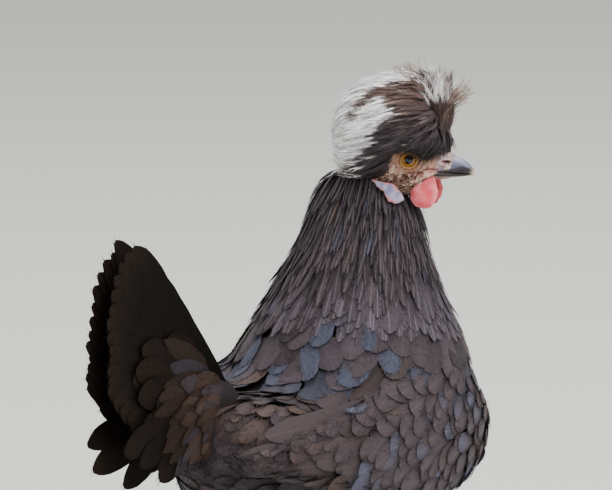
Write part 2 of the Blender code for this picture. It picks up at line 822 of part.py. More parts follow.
def toe(name, side, heading, length, thick, thin, scutes):
    """One toe with its scutes, flat underneath."""
    turn = math.radians(heading) * side
    ahead = Vector((math.cos(turn), math.sin(turn), 0))
    across = Vector((-math.sin(turn), math.cos(turn), 0))
    start = Vector((PAD.x, side * LEG_OUT, 0))
    rings = []
    for step, rise in scute_steps(scutes):
        share = TOE_START + (1 - TOE_START) * step
        radius = thick + (thin - thick) * share
        centre = start + ahead * (share * length * MM) + UP * (radius * TOE_HEIGHT * MM)
        size = (radius * MM, (radius + rise) * MM, radius * MM)
        rings.append(oval(centre, across, UP, *size, 7))
    made = loft(name, rings)
    return halved(made, Vector((0, 0, 0)), UP)


def claw(name, side, heading, length):
    turn = math.radians(heading) * side
    ahead = Vector((math.cos(turn), math.sin(turn), 0))
    across = Vector((-math.sin(turn), math.cos(turn), 0))
    start = Vector((PAD.x, side * LEG_OUT, 0)) + ahead * (length * MM + GAP)
    rings = []
    for share, radius, height in CLAW:
        centre = start + ahead * (share * CLAW_LENGTH) + UP * (height * MM)
        rings.append(oval(centre, across, UP, radius * 0.75 * MM, radius * MM, radius * MM, 6))
    return loft(name, rings)


def paint():
    """Gives every node its own material, by the first word of its name."""
    looks = {
        "torso": ((0.085, 0.070, 0.072), 0.62),
        "neck": ((0.075, 0.062, 0.064), 0.6),
        "wing": ((0.090, 0.074, 0.078), 0.6),
        "tail": ((0.045, 0.037, 0.038), 0.6),
        "thigh": ((0.080, 0.068, 0.070), 0.7),
        "crest": ((0.62, 0.60, 0.58), 0.75),
        "head": ((0.45, 0.25, 0.20), 0.55),
        "bill": ((0.32, 0.31, 0.32), 0.35),
        "eye": ((0.55, 0.27, 0.03), 0.08),
        "wattle": ((0.75, 0.17, 0.16), 0.45),
        "ear": ((0.72, 0.62, 0.64), 0.5),
        "shank": ((0.20, 0.21, 0.23), 0.5),
        "toe": ((0.20, 0.21, 0.23), 0.5),
        "claw": ((0.28, 0.26, 0.25), 0.35),
    }
    for item in bpy.context.scene.collection.objects:
        colour, roughness = looks[item.name.split("_")[0]]
        item.data.materials.clear()
        item.data.materials.append(finish(item.name, colour, roughness))


def centre_on_floor():
    """Moves all the nodes together, so that the origin is under the middle of their box."""
    nodes = bpy.context.scene.collection.objects
    points = np.array([v.co for item in nodes for v in item.data.vertices])
    low, high = points.min(axis=0), points.max(axis=0)
    shift = Vector((-(low[0] + high[0]) / 2, -(low[1] + high[1]) / 2, 0))
    placed(nodes, Matrix.Translation(shift))


def main():
    clear_scene()
    body = torso()
    face, set_in_head = head()
    cape = neck()
    globe = crest()
    wings = [wing(f"wing_{name}", side) for name, side in SIDES.items()]
    tails = [tail_half(f"tail_{name}", side) for name, side in SIDES.items()]
    thighs = [thigh(f"thigh_{name}", side) for name, side in SIDES.items()]

    around_body = grown(body)
    whole_head = skull()
    placed([whole_head], head_frame())
    around_head = grown(whole_head)
    whole_cape = neck_form("whole_cape", 0.0)
    around_cape = grown(whole_cape)
    cut(cape, [around_body, around_head])
    cut(globe, [around_head, around_cape])
    for item in set_in_head:
        if item.name.startswith(("wattle", "ear_lobe")):
            cut(item, [around_cape])
    for item in wings:
        cut(item, [around_cape])
    for item in (*tails, *thighs):
        cut(item, [around_body])
    remove([whole_head, whole_cape, around_body, around_head, around_cape])

    for name, side in SIDES.items():
        leg = shank(f"shank_{name}", side)
        around_leg = grown(leg)
        cut(bpy.data.objects[f"thigh_{name}"], [around_leg])
        toes = {w: toe(f"toe_{name}_{w}", side, *sizes) for w, sizes in TOES.items()}
        around_middle = grown(toes["middle"])
        for which, made in toes.items():
            cut(made, [around_leg] if which in ("middle", "hind") else [around_leg, around_middle])
            claw(f"claw_{name}_{which}", side, *TOES[which][:2])
        remove([around_leg, around_middle])
    paint()
    centre_on_floor()


main()
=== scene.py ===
"""Looks of a life-size crested hen of the Polish kind, as a museum model, laid out as an add-on.

Metres, +Z up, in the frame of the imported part. The hen faces +X, and her left side is +Y.
Sizes in the tables are millimetres, measured before the part was centred over its floor.
"""

import functools
import itertools
import math

import bmesh
import bpy
import numpy as np
from mathutils import Matrix, Vector
from mathutils.bvhtree import BVHTree


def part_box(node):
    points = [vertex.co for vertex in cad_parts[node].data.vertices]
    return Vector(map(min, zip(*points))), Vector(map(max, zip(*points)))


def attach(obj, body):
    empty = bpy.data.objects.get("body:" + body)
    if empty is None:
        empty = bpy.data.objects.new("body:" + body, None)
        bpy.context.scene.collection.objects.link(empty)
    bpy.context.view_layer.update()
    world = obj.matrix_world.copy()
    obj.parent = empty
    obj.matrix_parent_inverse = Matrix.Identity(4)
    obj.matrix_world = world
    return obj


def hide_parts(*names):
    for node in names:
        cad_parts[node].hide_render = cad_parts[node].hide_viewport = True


bl_info = {
    "name": "Crested Hen",
    "version": (1, 0, 0),
    "blender": (4, 5, 0),
    "location": "3D View > Sidebar > Crested Hen",
    "description": "Skin, plumage, head furnishings and legs of a life-size crested hen",
    "category": "Object",
}

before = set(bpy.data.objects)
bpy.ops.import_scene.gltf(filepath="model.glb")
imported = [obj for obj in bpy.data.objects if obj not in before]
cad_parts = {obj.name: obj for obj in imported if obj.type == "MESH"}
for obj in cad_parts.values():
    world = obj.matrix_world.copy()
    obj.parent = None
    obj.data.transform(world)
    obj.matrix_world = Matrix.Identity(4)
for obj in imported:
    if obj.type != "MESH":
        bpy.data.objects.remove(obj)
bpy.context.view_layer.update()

MM = 0.001
SIDES = {"left": 1, "right": -1}

# The part's forms, as its source states them: the skin and the coat are laid on them.
SQUARENESS = 2.3
# Station, height of the axis, half width, reach above and below.
TORSO = (
    (-123, 220, 12, 8, 12), (-113, 217, 30, 17, 30), (-82, 207, 54, 30, 57), (-42, 198, 67, 38, 79),
    (4, 192, 75, 67, 79), (50, 192, 77, 77, 73), (92, 197, 70, 66, 62), (119, 204, 54, 45, 44),
    (132, 209, 32, 26, 26), (138, 212, 9, 8, 8),
)
# Height, place of the axis along and across, turn, half width, reach in front and behind.
NECK = (
    (368, 63, -5, -66, 12, 14, 22), (356, 64, -5, -62, 16, 21, 36), (345, 64, -5, -54, 22, 29, 41),
    (333, 63, -4, -46, 31, 37, 42), (313, 59, -2, -32, 42, 44, 46), (282, 53, 0, -15, 56, 61, 59),
    (254, 48, 0, 0, 71, 78, 72), (236, 45, 0, 0, 79, 86, 81), (229, 45, 0, 0, 79, 86, 81),
    (214, 45, 0, 0, 73, 83, 75), (200, 45, 0, 0, 62, 73, 63),
)
HEAD_PLACE = Vector((0.0742, -0.0303, 0.372))
HEAD_TURN = math.radians(-68)
SKULL_SQUARENESS = 2.15
# The same for the skull, in the head's own frame.
HEAD = (
    (-31, -4, 8, 8, 9), (-26, -3, 13.5, 15, 17), (-18, -2, 16.5, 18, 21), (-8, -2, 17, 18.5, 22.5),
    (0, -2.5, 15.8, 17, 21), (8, -3.5, 12.6, 13.5, 15.5), (14, -4, 9.6, 10, 11.5),
    (20, -4.5, 7.0, 8.1, 10), (26, -5, 5.0, 7.9, 8.2), (29.5, -5.5, 2.5, 4.5, 4.5),
)
EYE_OUT = 11.0
LIDS_AHEAD = 1.2
EYE_RADIUS = 6.0
# Station, height at the mouth, height at the ridge or keel, half width.
BILL_UPPER = (
    (12, -8.2, 3.6, 9.2), (20, -9.0, 3.7, 7.2), (26, -9.3, 3.2, 5.6), (32, -9.5, 0.9, 4.4),
    (37, -9.7, -2.1, 3.3), (41, -10.1, -5.4, 2.2), (43.8, -10.9, -8.6, 1.1), (45.0, -11.9, -11.0, 0.4),
)
BILL_LOWER = (
    (15, -9.2, -12.6, 9.0), (20, -9.6, -13.2, 7.5), (27, -9.9, -12.9, 5.1), (34, -10.1, -12.2, 3.3),
    (39, -10.4, -11.5, 1.8), (41.5, -10.6, -11.0, 0.6),
)
# Where the horn of the upper bill begins: heights and stations.
HORN_EDGE = ((-9.5, -7.5, -5.5, -4.0, -2.0, 0.5, 3.2), (16.0, 18.2, 21.5, 25.4, 27.2, 27.8, 28.5))
NOSTRIL = (24.4, -2.1)
COMB_HORN = (20.5, 2.6, 3.2)
WATTLE_PLACE = (9.6, 8.0, -22.8)
LOBE_PLACE = (-12.0, 17.4, -20.3)
CREST_MIDDLE = np.array((-12.0, 0.0, 21.0))
CREST_REACH = np.array((39.0, 36.0, 40.0))
# Station, height of the axis, half width, reach above and below, top and bottom of the wing.
WING = (
    (100, 197, 76, 65, 70, 206, 193), (88, 196, 82, 70, 75, 224, 176),
    (60, 194, 86.5, 74, 80, 236, 160), (20, 193, 87, 73, 84, 238, 156),
    (-28, 196, 82, 64, 82, 234, 165), (-76, 202, 70, 48, 64, 226, 181),
    (-116, 207, 56, 34, 46, 217, 194), (-138, 210, 46, 26, 34, 211, 202),
)
TAIL_ROOT = np.array((-92.0, 0.0, 229.0))
# Rise of a feather in degrees, and its length, from the ridge down.
TAIL = ((45, 155), (37.5, 157), (30, 152), (22.5, 143), (15, 137), (7, 116), (-1, 98))
LEG_OUT = 45.0
# Height, station, half across, half along.
THIGH = (
    (170, 24, 22, 36), (147, 16, 26, 37), (124, 6, 22.5, 27), (104, -4, 14, 16), (91, -11, 8.5, 9.5),
    (85, -13, 5, 5.5), (72, -8, 4.8, 5.2), (62, -4, 4.5, 5.0),
)
PAD = Vector((18.0, 0, 7.5))
# Heading in degrees, length, half thickness at the root and the tip, dozens of rings.
TOES = {
    "inner": (-27, 42, 4.4, 3.0, 7),
    "middle": (3, 56, 4.6, 3.1, 10),
    "outer": (31, 42, 4.3, 3.0, 7),
    "hind": (160, 23, 3.8, 2.9, 4),
}
CLAW_LENGTH = 12.0

# How deep the coat is over the skin, by region.
TORSO_COAT = 7.0
NECK_COAT = 9.0
THIGH_COAT = 5.0

SHIFT = Vector((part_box("torso")[0].x - TORSO[0][0] * MM, 0, 0))
TO_METRES = Matrix.Diagonal((MM, MM, MM, 1))
HEAD_FRAME = Matrix.Translation(HEAD_PLACE + SHIFT) @ Matrix.Rotation(HEAD_TURN, 4, "Z")
# From the head's millimetres to the hen's metres, and the turn of the head alone.
HEAD_TO_HEN = HEAD_FRAME @ TO_METRES
HEAD_SPIN = np.array(Matrix.Rotation(HEAD_TURN, 3, "Z"))
# The photo's scale at the hen, its width, and where her right eye stands off its middle.
PIXEL = 0.65 * MM
PHOTO_WIDTH = 612
EYE_IN_PHOTO = (102.6, 86.3)

# Share of a feather's length and of its half width there.
ROUND = ((0, 0.25), (0.25, 0.7), (0.55, 1.0), (0.74, 0.95), (0.86, 0.77), (0.94, 0.52), (0.98, 0.3), (1, 0.1))
LANCE = ((0, 0.3), (0.3, 0.82), (0.58, 1.0), (0.76, 0.82), (0.9, 0.5), (0.97, 0.24), (1, 0.06))
PLUME = ((0, 0.3), (0.2, 0.8), (0.6, 1.0), (0.85, 0.94), (0.93, 0.74), (0.98, 0.4), (1, 0.14))
HACKLE = ((0, 0.3), (0.3, 0.8), (0.6, 1.0), (0.8, 0.86), (0.92, 0.56), (0.98, 0.28), (1, 0.1))
WISP = ((0, 0.6), (0.3, 1.0), (0.6, 0.75), (0.85, 0.4), (1, 0.06))


def linear(code):
    """An sRGB hex colour as linear values."""
    parts = [int(code[k : k + 2], 16) / 255 for k in (1, 3, 5)]
    return np.array([c / 12.92 if c <= 0.04045 else ((c + 0.055) / 1.055) ** 2.4 for c in parts])


def step(value, low, high):
    """A smooth rise from 0 at low to 1 at high."""
    share = np.clip((value - low) / (high - low), 0, 1)
    return share * share * (3 - 2 * share)


def mixed(one, other, share):
    share = np.asarray(share)[..., None]
    return one * (1 - share) + other * share


def layered(colour, *layers):
    """Lays further colours over one, each a hex code with its share."""
    for code, share in layers:
        colour = mixed(colour, linear(code), share)
    return colour


def stacked(*values):
    """Points from their coordinates, where a lone number or row is spread over the rest."""
    return np.stack(np.broadcast_arrays(*values), axis=-1)


def turns(count):
    """Even angles once round, as a row."""
    return np.linspace(0, math.tau, count + 1)[None, :-1]


LATTICE = np.random.default_rng(3).random((32, 32, 32))


def cloud(places, size):
    """Smooth noise from -1 to 1 over points, with lumps of about that size."""
    spot = np.asarray(places) / size
    cell = np.floor(spot).astype(int)
    part = spot - cell
    part = part * part * (3 - 2 * part)
    total = 0.0
    for corner in range(8):
        bits = np.array([corner & 1, corner >> 1 & 1, corner >> 2 & 1])
        where = (cell + bits) % 32
        weight = np.prod(np.where(bits, part, 1 - part), axis=-1)
        total = total + weight * LATTICE[where[..., 0], where[..., 1], where[..., 2]]
    return 2 * total - 1


def curve_rows(rows, count):
    """A Catmull-Rom curve through the key rows, read at even steps."""
    keys = np.array(rows, float)
    padded = np.vstack([2 * keys[0] - keys[1], keys, 2 * keys[-1] - keys[-2]])
    place = np.linspace(0, len(keys) - 1, count)
    first = np.minimum(place.astype(int), len(keys) - 2)
    t = (place - first)[:, None]
    a, b, c, d = (padded[first + k] for k in range(4))
    return b + 0.5 * t * (c - a + t * (2 * a - 5 * b + 4 * c - d + t * (3 * (b - c) + d - a)))


def read_rows(rows, place):
    """The columns of a table at a place given by its first column, which may rise or fall."""
    ordered = rows if rows[0, 0] < rows[-1, 0] else rows[::-1]
    return [np.interp(place, ordered[:, 0], ordered[:, k]) for k in range(1, rows.shape[1])]


TORSO_ROWS = curve_rows(TORSO, 120)
NECK_ROWS = curve_rows(NECK, 80)
HEAD_ROWS = curve_rows(HEAD, 90)
WING_ROWS = curve_rows(WING, 80)
THIGH_ROWS = curve_rows(THIGH, 60)


def rounded(angle, power):
    """Across and up of an oval's outline; an angle of 0 is its top."""
    across, along = np.sin(angle), np.cos(angle)
    across = np.sign(across) * np.abs(across) ** (2 / power)
    return across, np.sign(along) * np.abs(along) ** (2 / power)


# Each surface takes two parameters and gives a point and the point of its axis, in millimetres.
def torso_at(x, angle, inset=0.0):
    z, half_width, rise, drop = read_rows(TORSO_ROWS, x)
    across, along = rounded(angle, SQUARENESS)
    reach = np.maximum(np.where(along > 0, rise, drop) - inset, 1)
    point = stacked(x, np.maximum(half_width - inset, 1) * across, z + reach * along)
    return point, stacked(np.clip(x, -95, 105), 0.0, z)


def neck_at(height, angle, inset=0.0):
    x, y, turn, half_width, front, back = read_rows(NECK_ROWS, height)
    heading = np.radians(turn)
    along = np.where(np.cos(angle) > 0, front, back) - inset
    along, across = np.maximum(along, 1) * np.cos(angle), np.maximum(half_width - inset, 1) * np.sin(angle)
    point = stacked(
        x + np.cos(heading) * along - np.sin(heading) * across,
        y + np.sin(heading) * along + np.cos(heading) * across,
        height,
    )
    return point, stacked(x, y, height)


def thigh_at(height, angle, side, inset=0.0):
    x, half_width, half_depth = read_rows(THIGH_ROWS, height)
    across = np.maximum(half_width - inset, 1) * np.sin(angle)
    ahead = np.maximum(half_depth - inset, 1) * np.cos(angle)
    point = stacked(x + 0.944 * ahead, side * LEG_OUT + across, height - 0.33 * ahead)
    return point, stacked(x, side * LEG_OUT, height)


def head_at(x, angle):
    """The skull's surface, in the head's own frame."""
    z, half_width, rise, drop = read_rows(HEAD_ROWS, x)
    across, along = rounded(angle, SKULL_SQUARENESS)
    reach = np.where(along > 0, rise, drop)
    return stacked(x, half_width * across, z + reach * along), stacked(x, 0.0, z)


def flank(z, half_width, rise, drop, height):
    share = np.abs(height - z) / np.where(height > z, rise, drop)
    return half_width * (1 - np.minimum(share, 0.98) ** SQUARENESS) ** (1 / SQUARENESS)


def wing_at(x, height, side):
    out = flank(*read_rows(WING_ROWS, x)[:4], height)
    return stacked(x, side * out, height), stacked(x, 0.0, height)


def tail_at(rise, away, off, side):
    """A point of the tail's fan, by its rise in degrees, its way out and off the middle plane."""
    lean = np.radians(rise)
    splay = np.radians(np.interp(rise, [-1, 45], [3.6, 0.3]))
    flat = away * np.cos(lean)
    aside = side * (flat * np.sin(splay) + off)
    return TAIL_ROOT + stacked(-flat * np.cos(splay), aside, away * np.sin(lean))


def to_hen(points):
    """Head frame to the hen's, both in millimetres before the shift."""
    return points @ HEAD_SPIN.T + np.array(HEAD_PLACE) / MM


# How full the crest is in profile: degrees up from the bill's side, and share of its reach.
CREST_OUTLINE = (
    (-180, 0.99), (-150, 1.04), (-130, 1.05), (-110, 1.0), (-60, 1.0), (-10, 0.98), (6, 1.02), (22, 1.06),
    (45, 1.06), (62, 1.02), (76, 0.93), (95, 0.84), (114, 0.82), (143, 0.92), (160, 0.96), (180, 0.99),
)


def crest_at(polar, round_it, reach=1.0):
    """A point of the crest, by its angle from the whorl, the angle round it and its reach."""
    lean = bpy.context.scene.hen_crest.lean
    whorl = np.array((math.sin(lean), 0, math.cos(lean)))
    ahead = np.array((math.cos(lean), 0, -math.sin(lean)))
    flat = ahead * np.cos(round_it)[..., None] + np.array((0, 1, 0)) * np.sin(round_it)[..., None]
    way = whorl * np.cos(polar)[..., None] + flat * np.sin(polar)[..., None]
    full = profile(CREST_OUTLINE, np.degrees(np.arctan2(way[..., 2], way[..., 0])))
    full = 1 + (full - 1) * (1 - way[..., 1] ** 2)
    return CREST_MIDDLE + CREST_REACH * (full * reach)[..., None] * way


def unit(vectors):
    return vectors / np.maximum(np.linalg.norm(vectors, axis=-1, keepdims=True), 1e-9)


def dot(one, other):
    return (one * other).sum(axis=-1, keepdims=True)


def slopes(surface, u, v):
    """The point, its two slopes and its outward normal at parameters of a surface."""
    reach = (0.05, 0.0005)
    point, axis = surface(u, v)
    along_u = (surface(u + reach[0], v)[0] - point) / reach[0]
    along_v = (surface(u, v + reach[1])[0] - point) / reach[1]
    normal = unit(np.cross(along_u, along_v))
    return point, along_u, along_v, normal * np.sign(dot(normal, point - axis))


class Form:
    """The hen's smoothed outer surface without the head, on which feathers are laid."""

    def __init__(self):
        body = merged("form", body_lofts(0.0, 0.0, 0.0, 0.8))
        apply(body, "REMESH", mode="VOXEL", voxel_size=3.5)
        apply(body, "SMOOTH", factor=0.5, iterations=14)
        mesh = body.data
        self.points = points_of(mesh)
        normals = np.empty(len(mesh.vertices) * 3)
        mesh.vertices.foreach_get("normal", normals)
        self.normals = normals.reshape(-1, 3)
        mesh.calc_loop_triangles()
        corners = np.empty(len(mesh.loop_triangles) * 3, np.int32)
        mesh.loop_triangles.foreach_get("vertices", corners)
        self.faces = corners.reshape(-1, 3)
        self.tree = BVHTree.FromPolygons(self.points.tolist(), self.faces.tolist())
        bpy.data.objects.remove(body)

    def nearest(self, places):
        """The nearest points of the surface, with its smoothed normals there."""
        flat = places.reshape(-1, 3)
        found = [self.tree.find_nearest(place)[::2] for place in flat.tolist()]
        near = np.array([spot for spot, _ in found])
        corners = self.faces[[face for _, face in found]]
        off = np.linalg.norm(self.points[corners] - near[:, None], axis=2)
        share = 1 / (off**2 + 0.2)
        normal = unit((self.normals[corners] * share[..., None]).sum(axis=1))
        return near.reshape(places.shape), normal.reshape(places.shape)

    def sites(self, spacing, draw, tries=16000):
        """Roots spread over the surface, no closer together than the spacing asked for there."""
        one, two, three = (self.points[self.faces[:, k]] for k in range(3))
        area = np.linalg.norm(np.cross(two - one, three - one), axis=1)
        face = draw.choice(len(area), tries, p=area / area.sum())
        a, b = draw.random((2, tries))
        a, b = np.where(a + b > 1, 1 - a, a), np.where(a + b > 1, 1 - b, b)
        spots = one[face] + (two - one)[face] * a[:, None] + (three - one)[face] * b[:, None]
        apart = spacing(spots)
        spots, apart = spots[apart > 0], apart[apart > 0]
        cells, kept = {}, []
        for k, (spot, gap) in enumerate(zip(spots.tolist(), apart.tolist())):
            cell = tuple(int(value // 14) for value in spot)
            beside = itertools.product(*((value - 1, value, value + 1) for value in cell))
            around = [m for near in beside for m in cells.get(near, ())]
            if around and np.min(((spots[around] - spots[k]) ** 2).sum(axis=1)) < gap * gap:
                continue
            cells.setdefault(cell, []).append(k)
            kept.append(k)
        return spots[kept]

    def lay(self, root, way, length, steps, stray=0.0):
        """Paths from roots over the surface, the way a flow points, by equal steps."""
        place, normal = self.nearest(root)
        points, normals = [], []
        stride = (length / (steps - 1))[:, None]
        turn = np.broadcast_to(stray, length.shape)[:, None]
        for _ in range(steps):
            points.append(place)
            normals.append(normal)
            flow = np.broadcast_to(way(place) if callable(way) else np.array(way, float), place.shape)
            flow = unit(flow - normal * dot(flow, normal))
            flow = flow * np.cos(turn) + np.cross(normal, flow) * np.sin(turn)
            place, normal = self.nearest(place + flow * stride)
        return np.stack(points, axis=1), np.stack(normals, axis=1)


@functools.cache
def form():
    """The one surface for all feathers, made at its first use."""
    return Form()


def body_lofts(torso_coat, neck_coat, thigh_coat, wing_coat):
    """Rings of the torso, neck, thighs and folded wings, each inset by its coat's depth."""
    angle = turns(48)[0]

    def ringed(surface, first, last, count, *values):
        places = np.linspace(first, last, count)
        return np.array([surface(np.full(48, place), angle, *values)[0] for place in places])

    return [
        ringed(torso_at, -121, 137, 60, torso_coat),
        ringed(neck_at, 368, 200, 50, neck_coat),
        ringed(thigh_at, 170, 86 if thigh_coat else 63, 30, 1, thigh_coat),
        ringed(thigh_at, 170, 86 if thigh_coat else 63, 30, -1, thigh_coat),
        wing_core(1, wing_coat),
        wing_core(-1, wing_coat),
    ]


def merged(name, lofts):
    """One object through several lofts, which still cross each other."""
    return joined([linked(name, grid_mesh(name, rings)) for rings in lofts])


def joined(parts):
    """The first of several objects, with the others joined to it."""
    alone(parts[0])
    for part in parts:
        part.select_set(True)
    bpy.ops.object.join()
    return parts[0]


def wing_core(side, inset):
    """The flesh of a folded wing, between the torso's side and the feathers."""
    rings = []
    for x, z, half_width, rise, drop, top, bottom in curve_rows(WING, 40):
        height = np.linspace(top - 1 - inset / 3, bottom + 1 + inset / 3, 12)
        outer = flank(z, half_width, rise, drop, height) - inset
        y = np.concatenate([outer, outer[::-1] - 12])
        rings.append(stacked(x, side * y, np.concatenate([height, height[::-1]])))
    return np.array(rings)


def profile(pairs, place):
    """The second values of paired rows, at places given by the first ones."""
    return np.interp(place, *np.array(pairs, float).T)


def tipward(values, part):
    """Reads values along paths at other shares of the way than even ones."""
    last = values.shape[1] - 1
    spot = part * last
    first = np.minimum(spot.astype(int), last - 1)
    over = (spot - first)[None, :, None]
    return values[:, first] * (1 - over) + values[:, first + 1] * over


# Corners of a vane's section as across and out, from one edge over the shaft to the other edge
# and back below; narrow feathers do with four.
WIDE = ((-1, 0), (-0.5, 0.35), (0, 0.6), (0.5, 0.35), (1, 0), (0, -0.5))
NARROW = ((-1, 0), (0, 0.6), (1, 0), (0, -0.5))
BARB = ((-1, -0.5), (0, 0.8), (1, -0.5))
PIECE_LIMIT = 180000


class Coat:
    """Feathers gathered for one kind of piece: corners, colours, and both UV maps."""

    def __init__(self):
        self.batches = []

    def add(self, path, normal, half, colour, patch, shape=ROUND, **looks):
        """Adds feathers along paths. Colour is per feather and step, patch is the root's UV."""
        thick, camber = looks.get("thick", 0.3), looks.get("camber", 0.12)
        teeth, sweep = looks.get("teeth", 0.12), looks.get("sweep", 0.15)
        roll, edge = looks.get("roll", 0.06), looks.get("edge", 1.0)
        section = np.array(looks.get("section", WIDE), float)
        draw = np.random.default_rng(looks.get("seed", 1))
        count, steps = path.shape[:2]
        # Rows stand closer towards the tip, where the outline turns.
        part = 1 - (1 - np.linspace(0, 1, steps)) ** 1.6
        path, colour = tipward(path, part), tipward(colour, part)
        normal = unit(tipward(normal, part))
        tangent = unit(np.gradient(path, axis=1))
        across = unit(np.cross(normal, tangent))
        tilt = (roll * (1 + draw.uniform(-1.2, 1.2, count)))[:, None, None]
        across = across * np.cos(tilt) + np.cross(tangent, across) * np.sin(tilt)
        out = np.cross(tangent, across)
        width = profile(shape, part)[None, :] * np.broadcast_to(half, count)[:, None]
        reach = width[:, :, None] * section[:, 0]
        rims = np.abs(section[:, 0]) == 1
        for corner in np.flatnonzero(rims):
            cuts = draw.uniform(0, 1, (count, steps)) * (np.arange(steps) % 2)
            reach[..., corner] *= 1 - teeth * cuts * step(part, 0.2, 0.5)
        spread = np.abs(reach) * sweep * (1 - part**3)[None, :, None]
        fade = np.minimum(1, 3 * (1 - part) + 0.25)[None, :, None]
        drop = section[:, 1] * thick * fade - section[:, 0] ** 2 * camber * width[:, :, None]
        corners = (
            path[:, :, None]
            + across[:, :, None] * reach[..., None]
            + tangent[:, :, None] * spread[..., None]
            + out[:, :, None] * drop[..., None]
        )
        run = np.linalg.norm(np.diff(path, axis=1), axis=2)
        run = np.concatenate([np.zeros((count, 1)), np.cumsum(run, axis=1)], axis=1)
        tag = draw.integers(0, 60, count) * 40.0
        vane = stacked(reach, run[:, :, None] + spread + tag[:, None, None])
        u, v = patch.T[..., None, None]
        bake = stacked(u + 0.0015 * section[:, 0], v + 0.0030 * part[None, :, None])
        tint = np.broadcast_to(colour[:, :, None], (*reach.shape, 3)).copy()
        tint[:, :, rims] *= edge
        rim = np.broadcast_to(np.where(rims, section[:, 0], 0), reach.shape)
        self.batches.append((corners, vane, bake, tint, rim))
        if "fringe" in looks:
            self.fringe(path, tangent, across, out, width, tint[:, :, 0], patch, draw, *looks["fringe"])

    def fringe(self, path, tangent, across, out, width, tint, patch, draw, number, length, thick):
        """Loose barbs off both edges. Real ones are 0.1 mm thick, too fine to see; these are coarser."""
        count, steps = path.shape[:2]
        rows = draw.integers(int(steps * 0.3), steps, (count, number))
        side = np.where(np.arange(number) % 2, 1.0, -1.0)[None, :, None]

        def at_rows(values):
            return np.take_along_axis(values, rows[..., None], axis=1)

        stem, ahead, beside, above = (at_rows(values) for values in (path, tangent, across, out))
        wide = np.take_along_axis(width, rows, axis=1)[..., None]
        lean = np.radians(52 - 34 * rows / (steps - 1) + draw.normal(0, 9, rows.shape))[..., None]
        way = ahead * np.cos(lean) + beside * side * np.sin(lean)
        stem = stem + beside * side * wide * draw.uniform(0.3, 0.9, wide.shape)
        size = length * draw.uniform(0.45, 1.35, wide.shape)
        part = np.array((0, 1))[:, None]
        far = stem[:, :, None] + way[:, :, None] * size[:, :, None] * part
        far = far + (ahead[:, :, None] * 0.3 - above[:, :, None] * 0.08) * size[:, :, None] * part
        level = unit(np.cross(above, way))
        section = np.array(BARB)
        taper = thick * np.array((1, 0.15))[:, None, None]
        corners = far[:, :, :, None] + taper * (
            level[:, :, None, None] * section[:, 0, None] + above[:, :, None, None] * section[:, 1, None]
        )
        corners = corners.reshape(-1, 2, 3, 3)
        shape = corners.shape[:3]
        # Far from the shaft, so that no shaft shows on a barb.
        vane = np.broadcast_to(stacked(9.0, draw.uniform(0, 90, (len(corners), 1, 1))), (*shape, 2))
        root = np.repeat(patch, number, axis=0)[:, None, None]
        bake = root + stacked(0.0012 * np.arange(-1, 2), 0.0014 * np.arange(2)[:, None])
        hue = at_rows(tint).reshape(-1, 1, 1, 3) * draw.uniform(0.85, 1.15, (len(corners), 1, 1, 1))
        self.batches.append((corners, vane, bake, np.broadcast_to(hue, (*shape, 3)), np.zeros(shape)))

    def meshes(self, name):
        """The feathers as meshes below the limit for one piece, each with every batch's share."""
        total = sum(2 * rim.size for *_, rim in self.batches)
        parts = math.ceil(total / PIECE_LIMIT)
        for k in range(parts):
            label = f"{name}_{k + 1}" if parts > 1 else name
            yield self.mesh(label, [[values[k::parts] for values in batch] for batch in self.batches])

    def mesh(self, name, batches):
        quads, caps, sizes, base = [], [], [], 0
        for corners, *_ in batches:
            count, steps, sides = corners.shape[:3]
            index = base + np.arange(count * steps * sides).reshape(count, steps, sides)
            after = np.roll(index, -1, axis=2)
            quads.append(stacked(index[:, :-1], index[:, 1:], after[:, 1:], after[:, :-1]).ravel())
            caps += [index[:, 0].ravel(), index[:, -1, ::-1].ravel()]
            sizes += [sides] * 2 * count
            base += index.size
        corners, vanes, bakes, tints = (
            np.concatenate([batch[k].reshape(-1, batch[k].shape[-1]) for batch in batches]) for k in range(4)
        )
        rims = np.concatenate([batch[4].ravel() for batch in batches])
        quads = np.concatenate(quads)
        loops = np.concatenate([quads, *caps])
        starts = np.concatenate([[0], np.cumsum([4] * (len(quads) // 4) + sizes)])[:-1]
        made = bpy.data.meshes.new(name)
        made.vertices.add(len(corners))
        made.vertices.foreach_set("co", (corners * MM + np.array(SHIFT)).astype(np.float32).ravel())
        made.loops.add(len(loops))
        made.loops.foreach_set("vertex_index", loops.astype(np.int32))
        made.polygons.add(len(starts))
        made.polygons.foreach_set("loop_start", starts.astype(np.int32))
        made.update(calc_edges=True)
        for layer, values in (("OFBake", bakes), ("Vane", vanes)):
            flat = made.uv_layers.new(name=layer)
            flat.data.foreach_set("uv", values[loops].astype(np.float32).ravel())
        paint(made, tints)
        ends = np.empty(len(made.edges) * 2, np.int32)
        made.edges.foreach_get("vertices", ends)
        one, other = rims[ends[::2]], rims[ends[1::2]]
        made.shade_smooth()
        crisp = made.attributes.new("sharp_edge", "BOOLEAN", "EDGE")
        crisp.data.foreach_set("value", (one == other) & (one != 0))
        return made


def place_coat(name, coat, finish, slot, *nodes):
    for k, mesh in enumerate(coat.meshes(name)):
        place(mesh.name, mesh, finish, slot, *(nodes if k == 0 else ()))


def paint(mesh, colours):
    """Keeps a linear colour for each corner point of a mesh, which its material reads as Plumage."""
    values = np.ones((len(mesh.vertices), 4), np.float32)
    values[:, :3] = np.clip(colours, 0, 1)
    mesh.attributes.new("Plumage", "FLOAT_COLOR", "POINT").data.foreach_set("color", values.ravel())


def place(name, mesh, material, slot, *nodes):
    """Shows a mesh as a piece of the hen, in the place of the part's own nodes."""
    piece = bpy.data.objects.get(name) or linked(name, mesh)
    piece.data.materials.clear()
    piece.data.materials.append(material)
    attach(piece, "root")
    if nodes:
        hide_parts(*nodes)


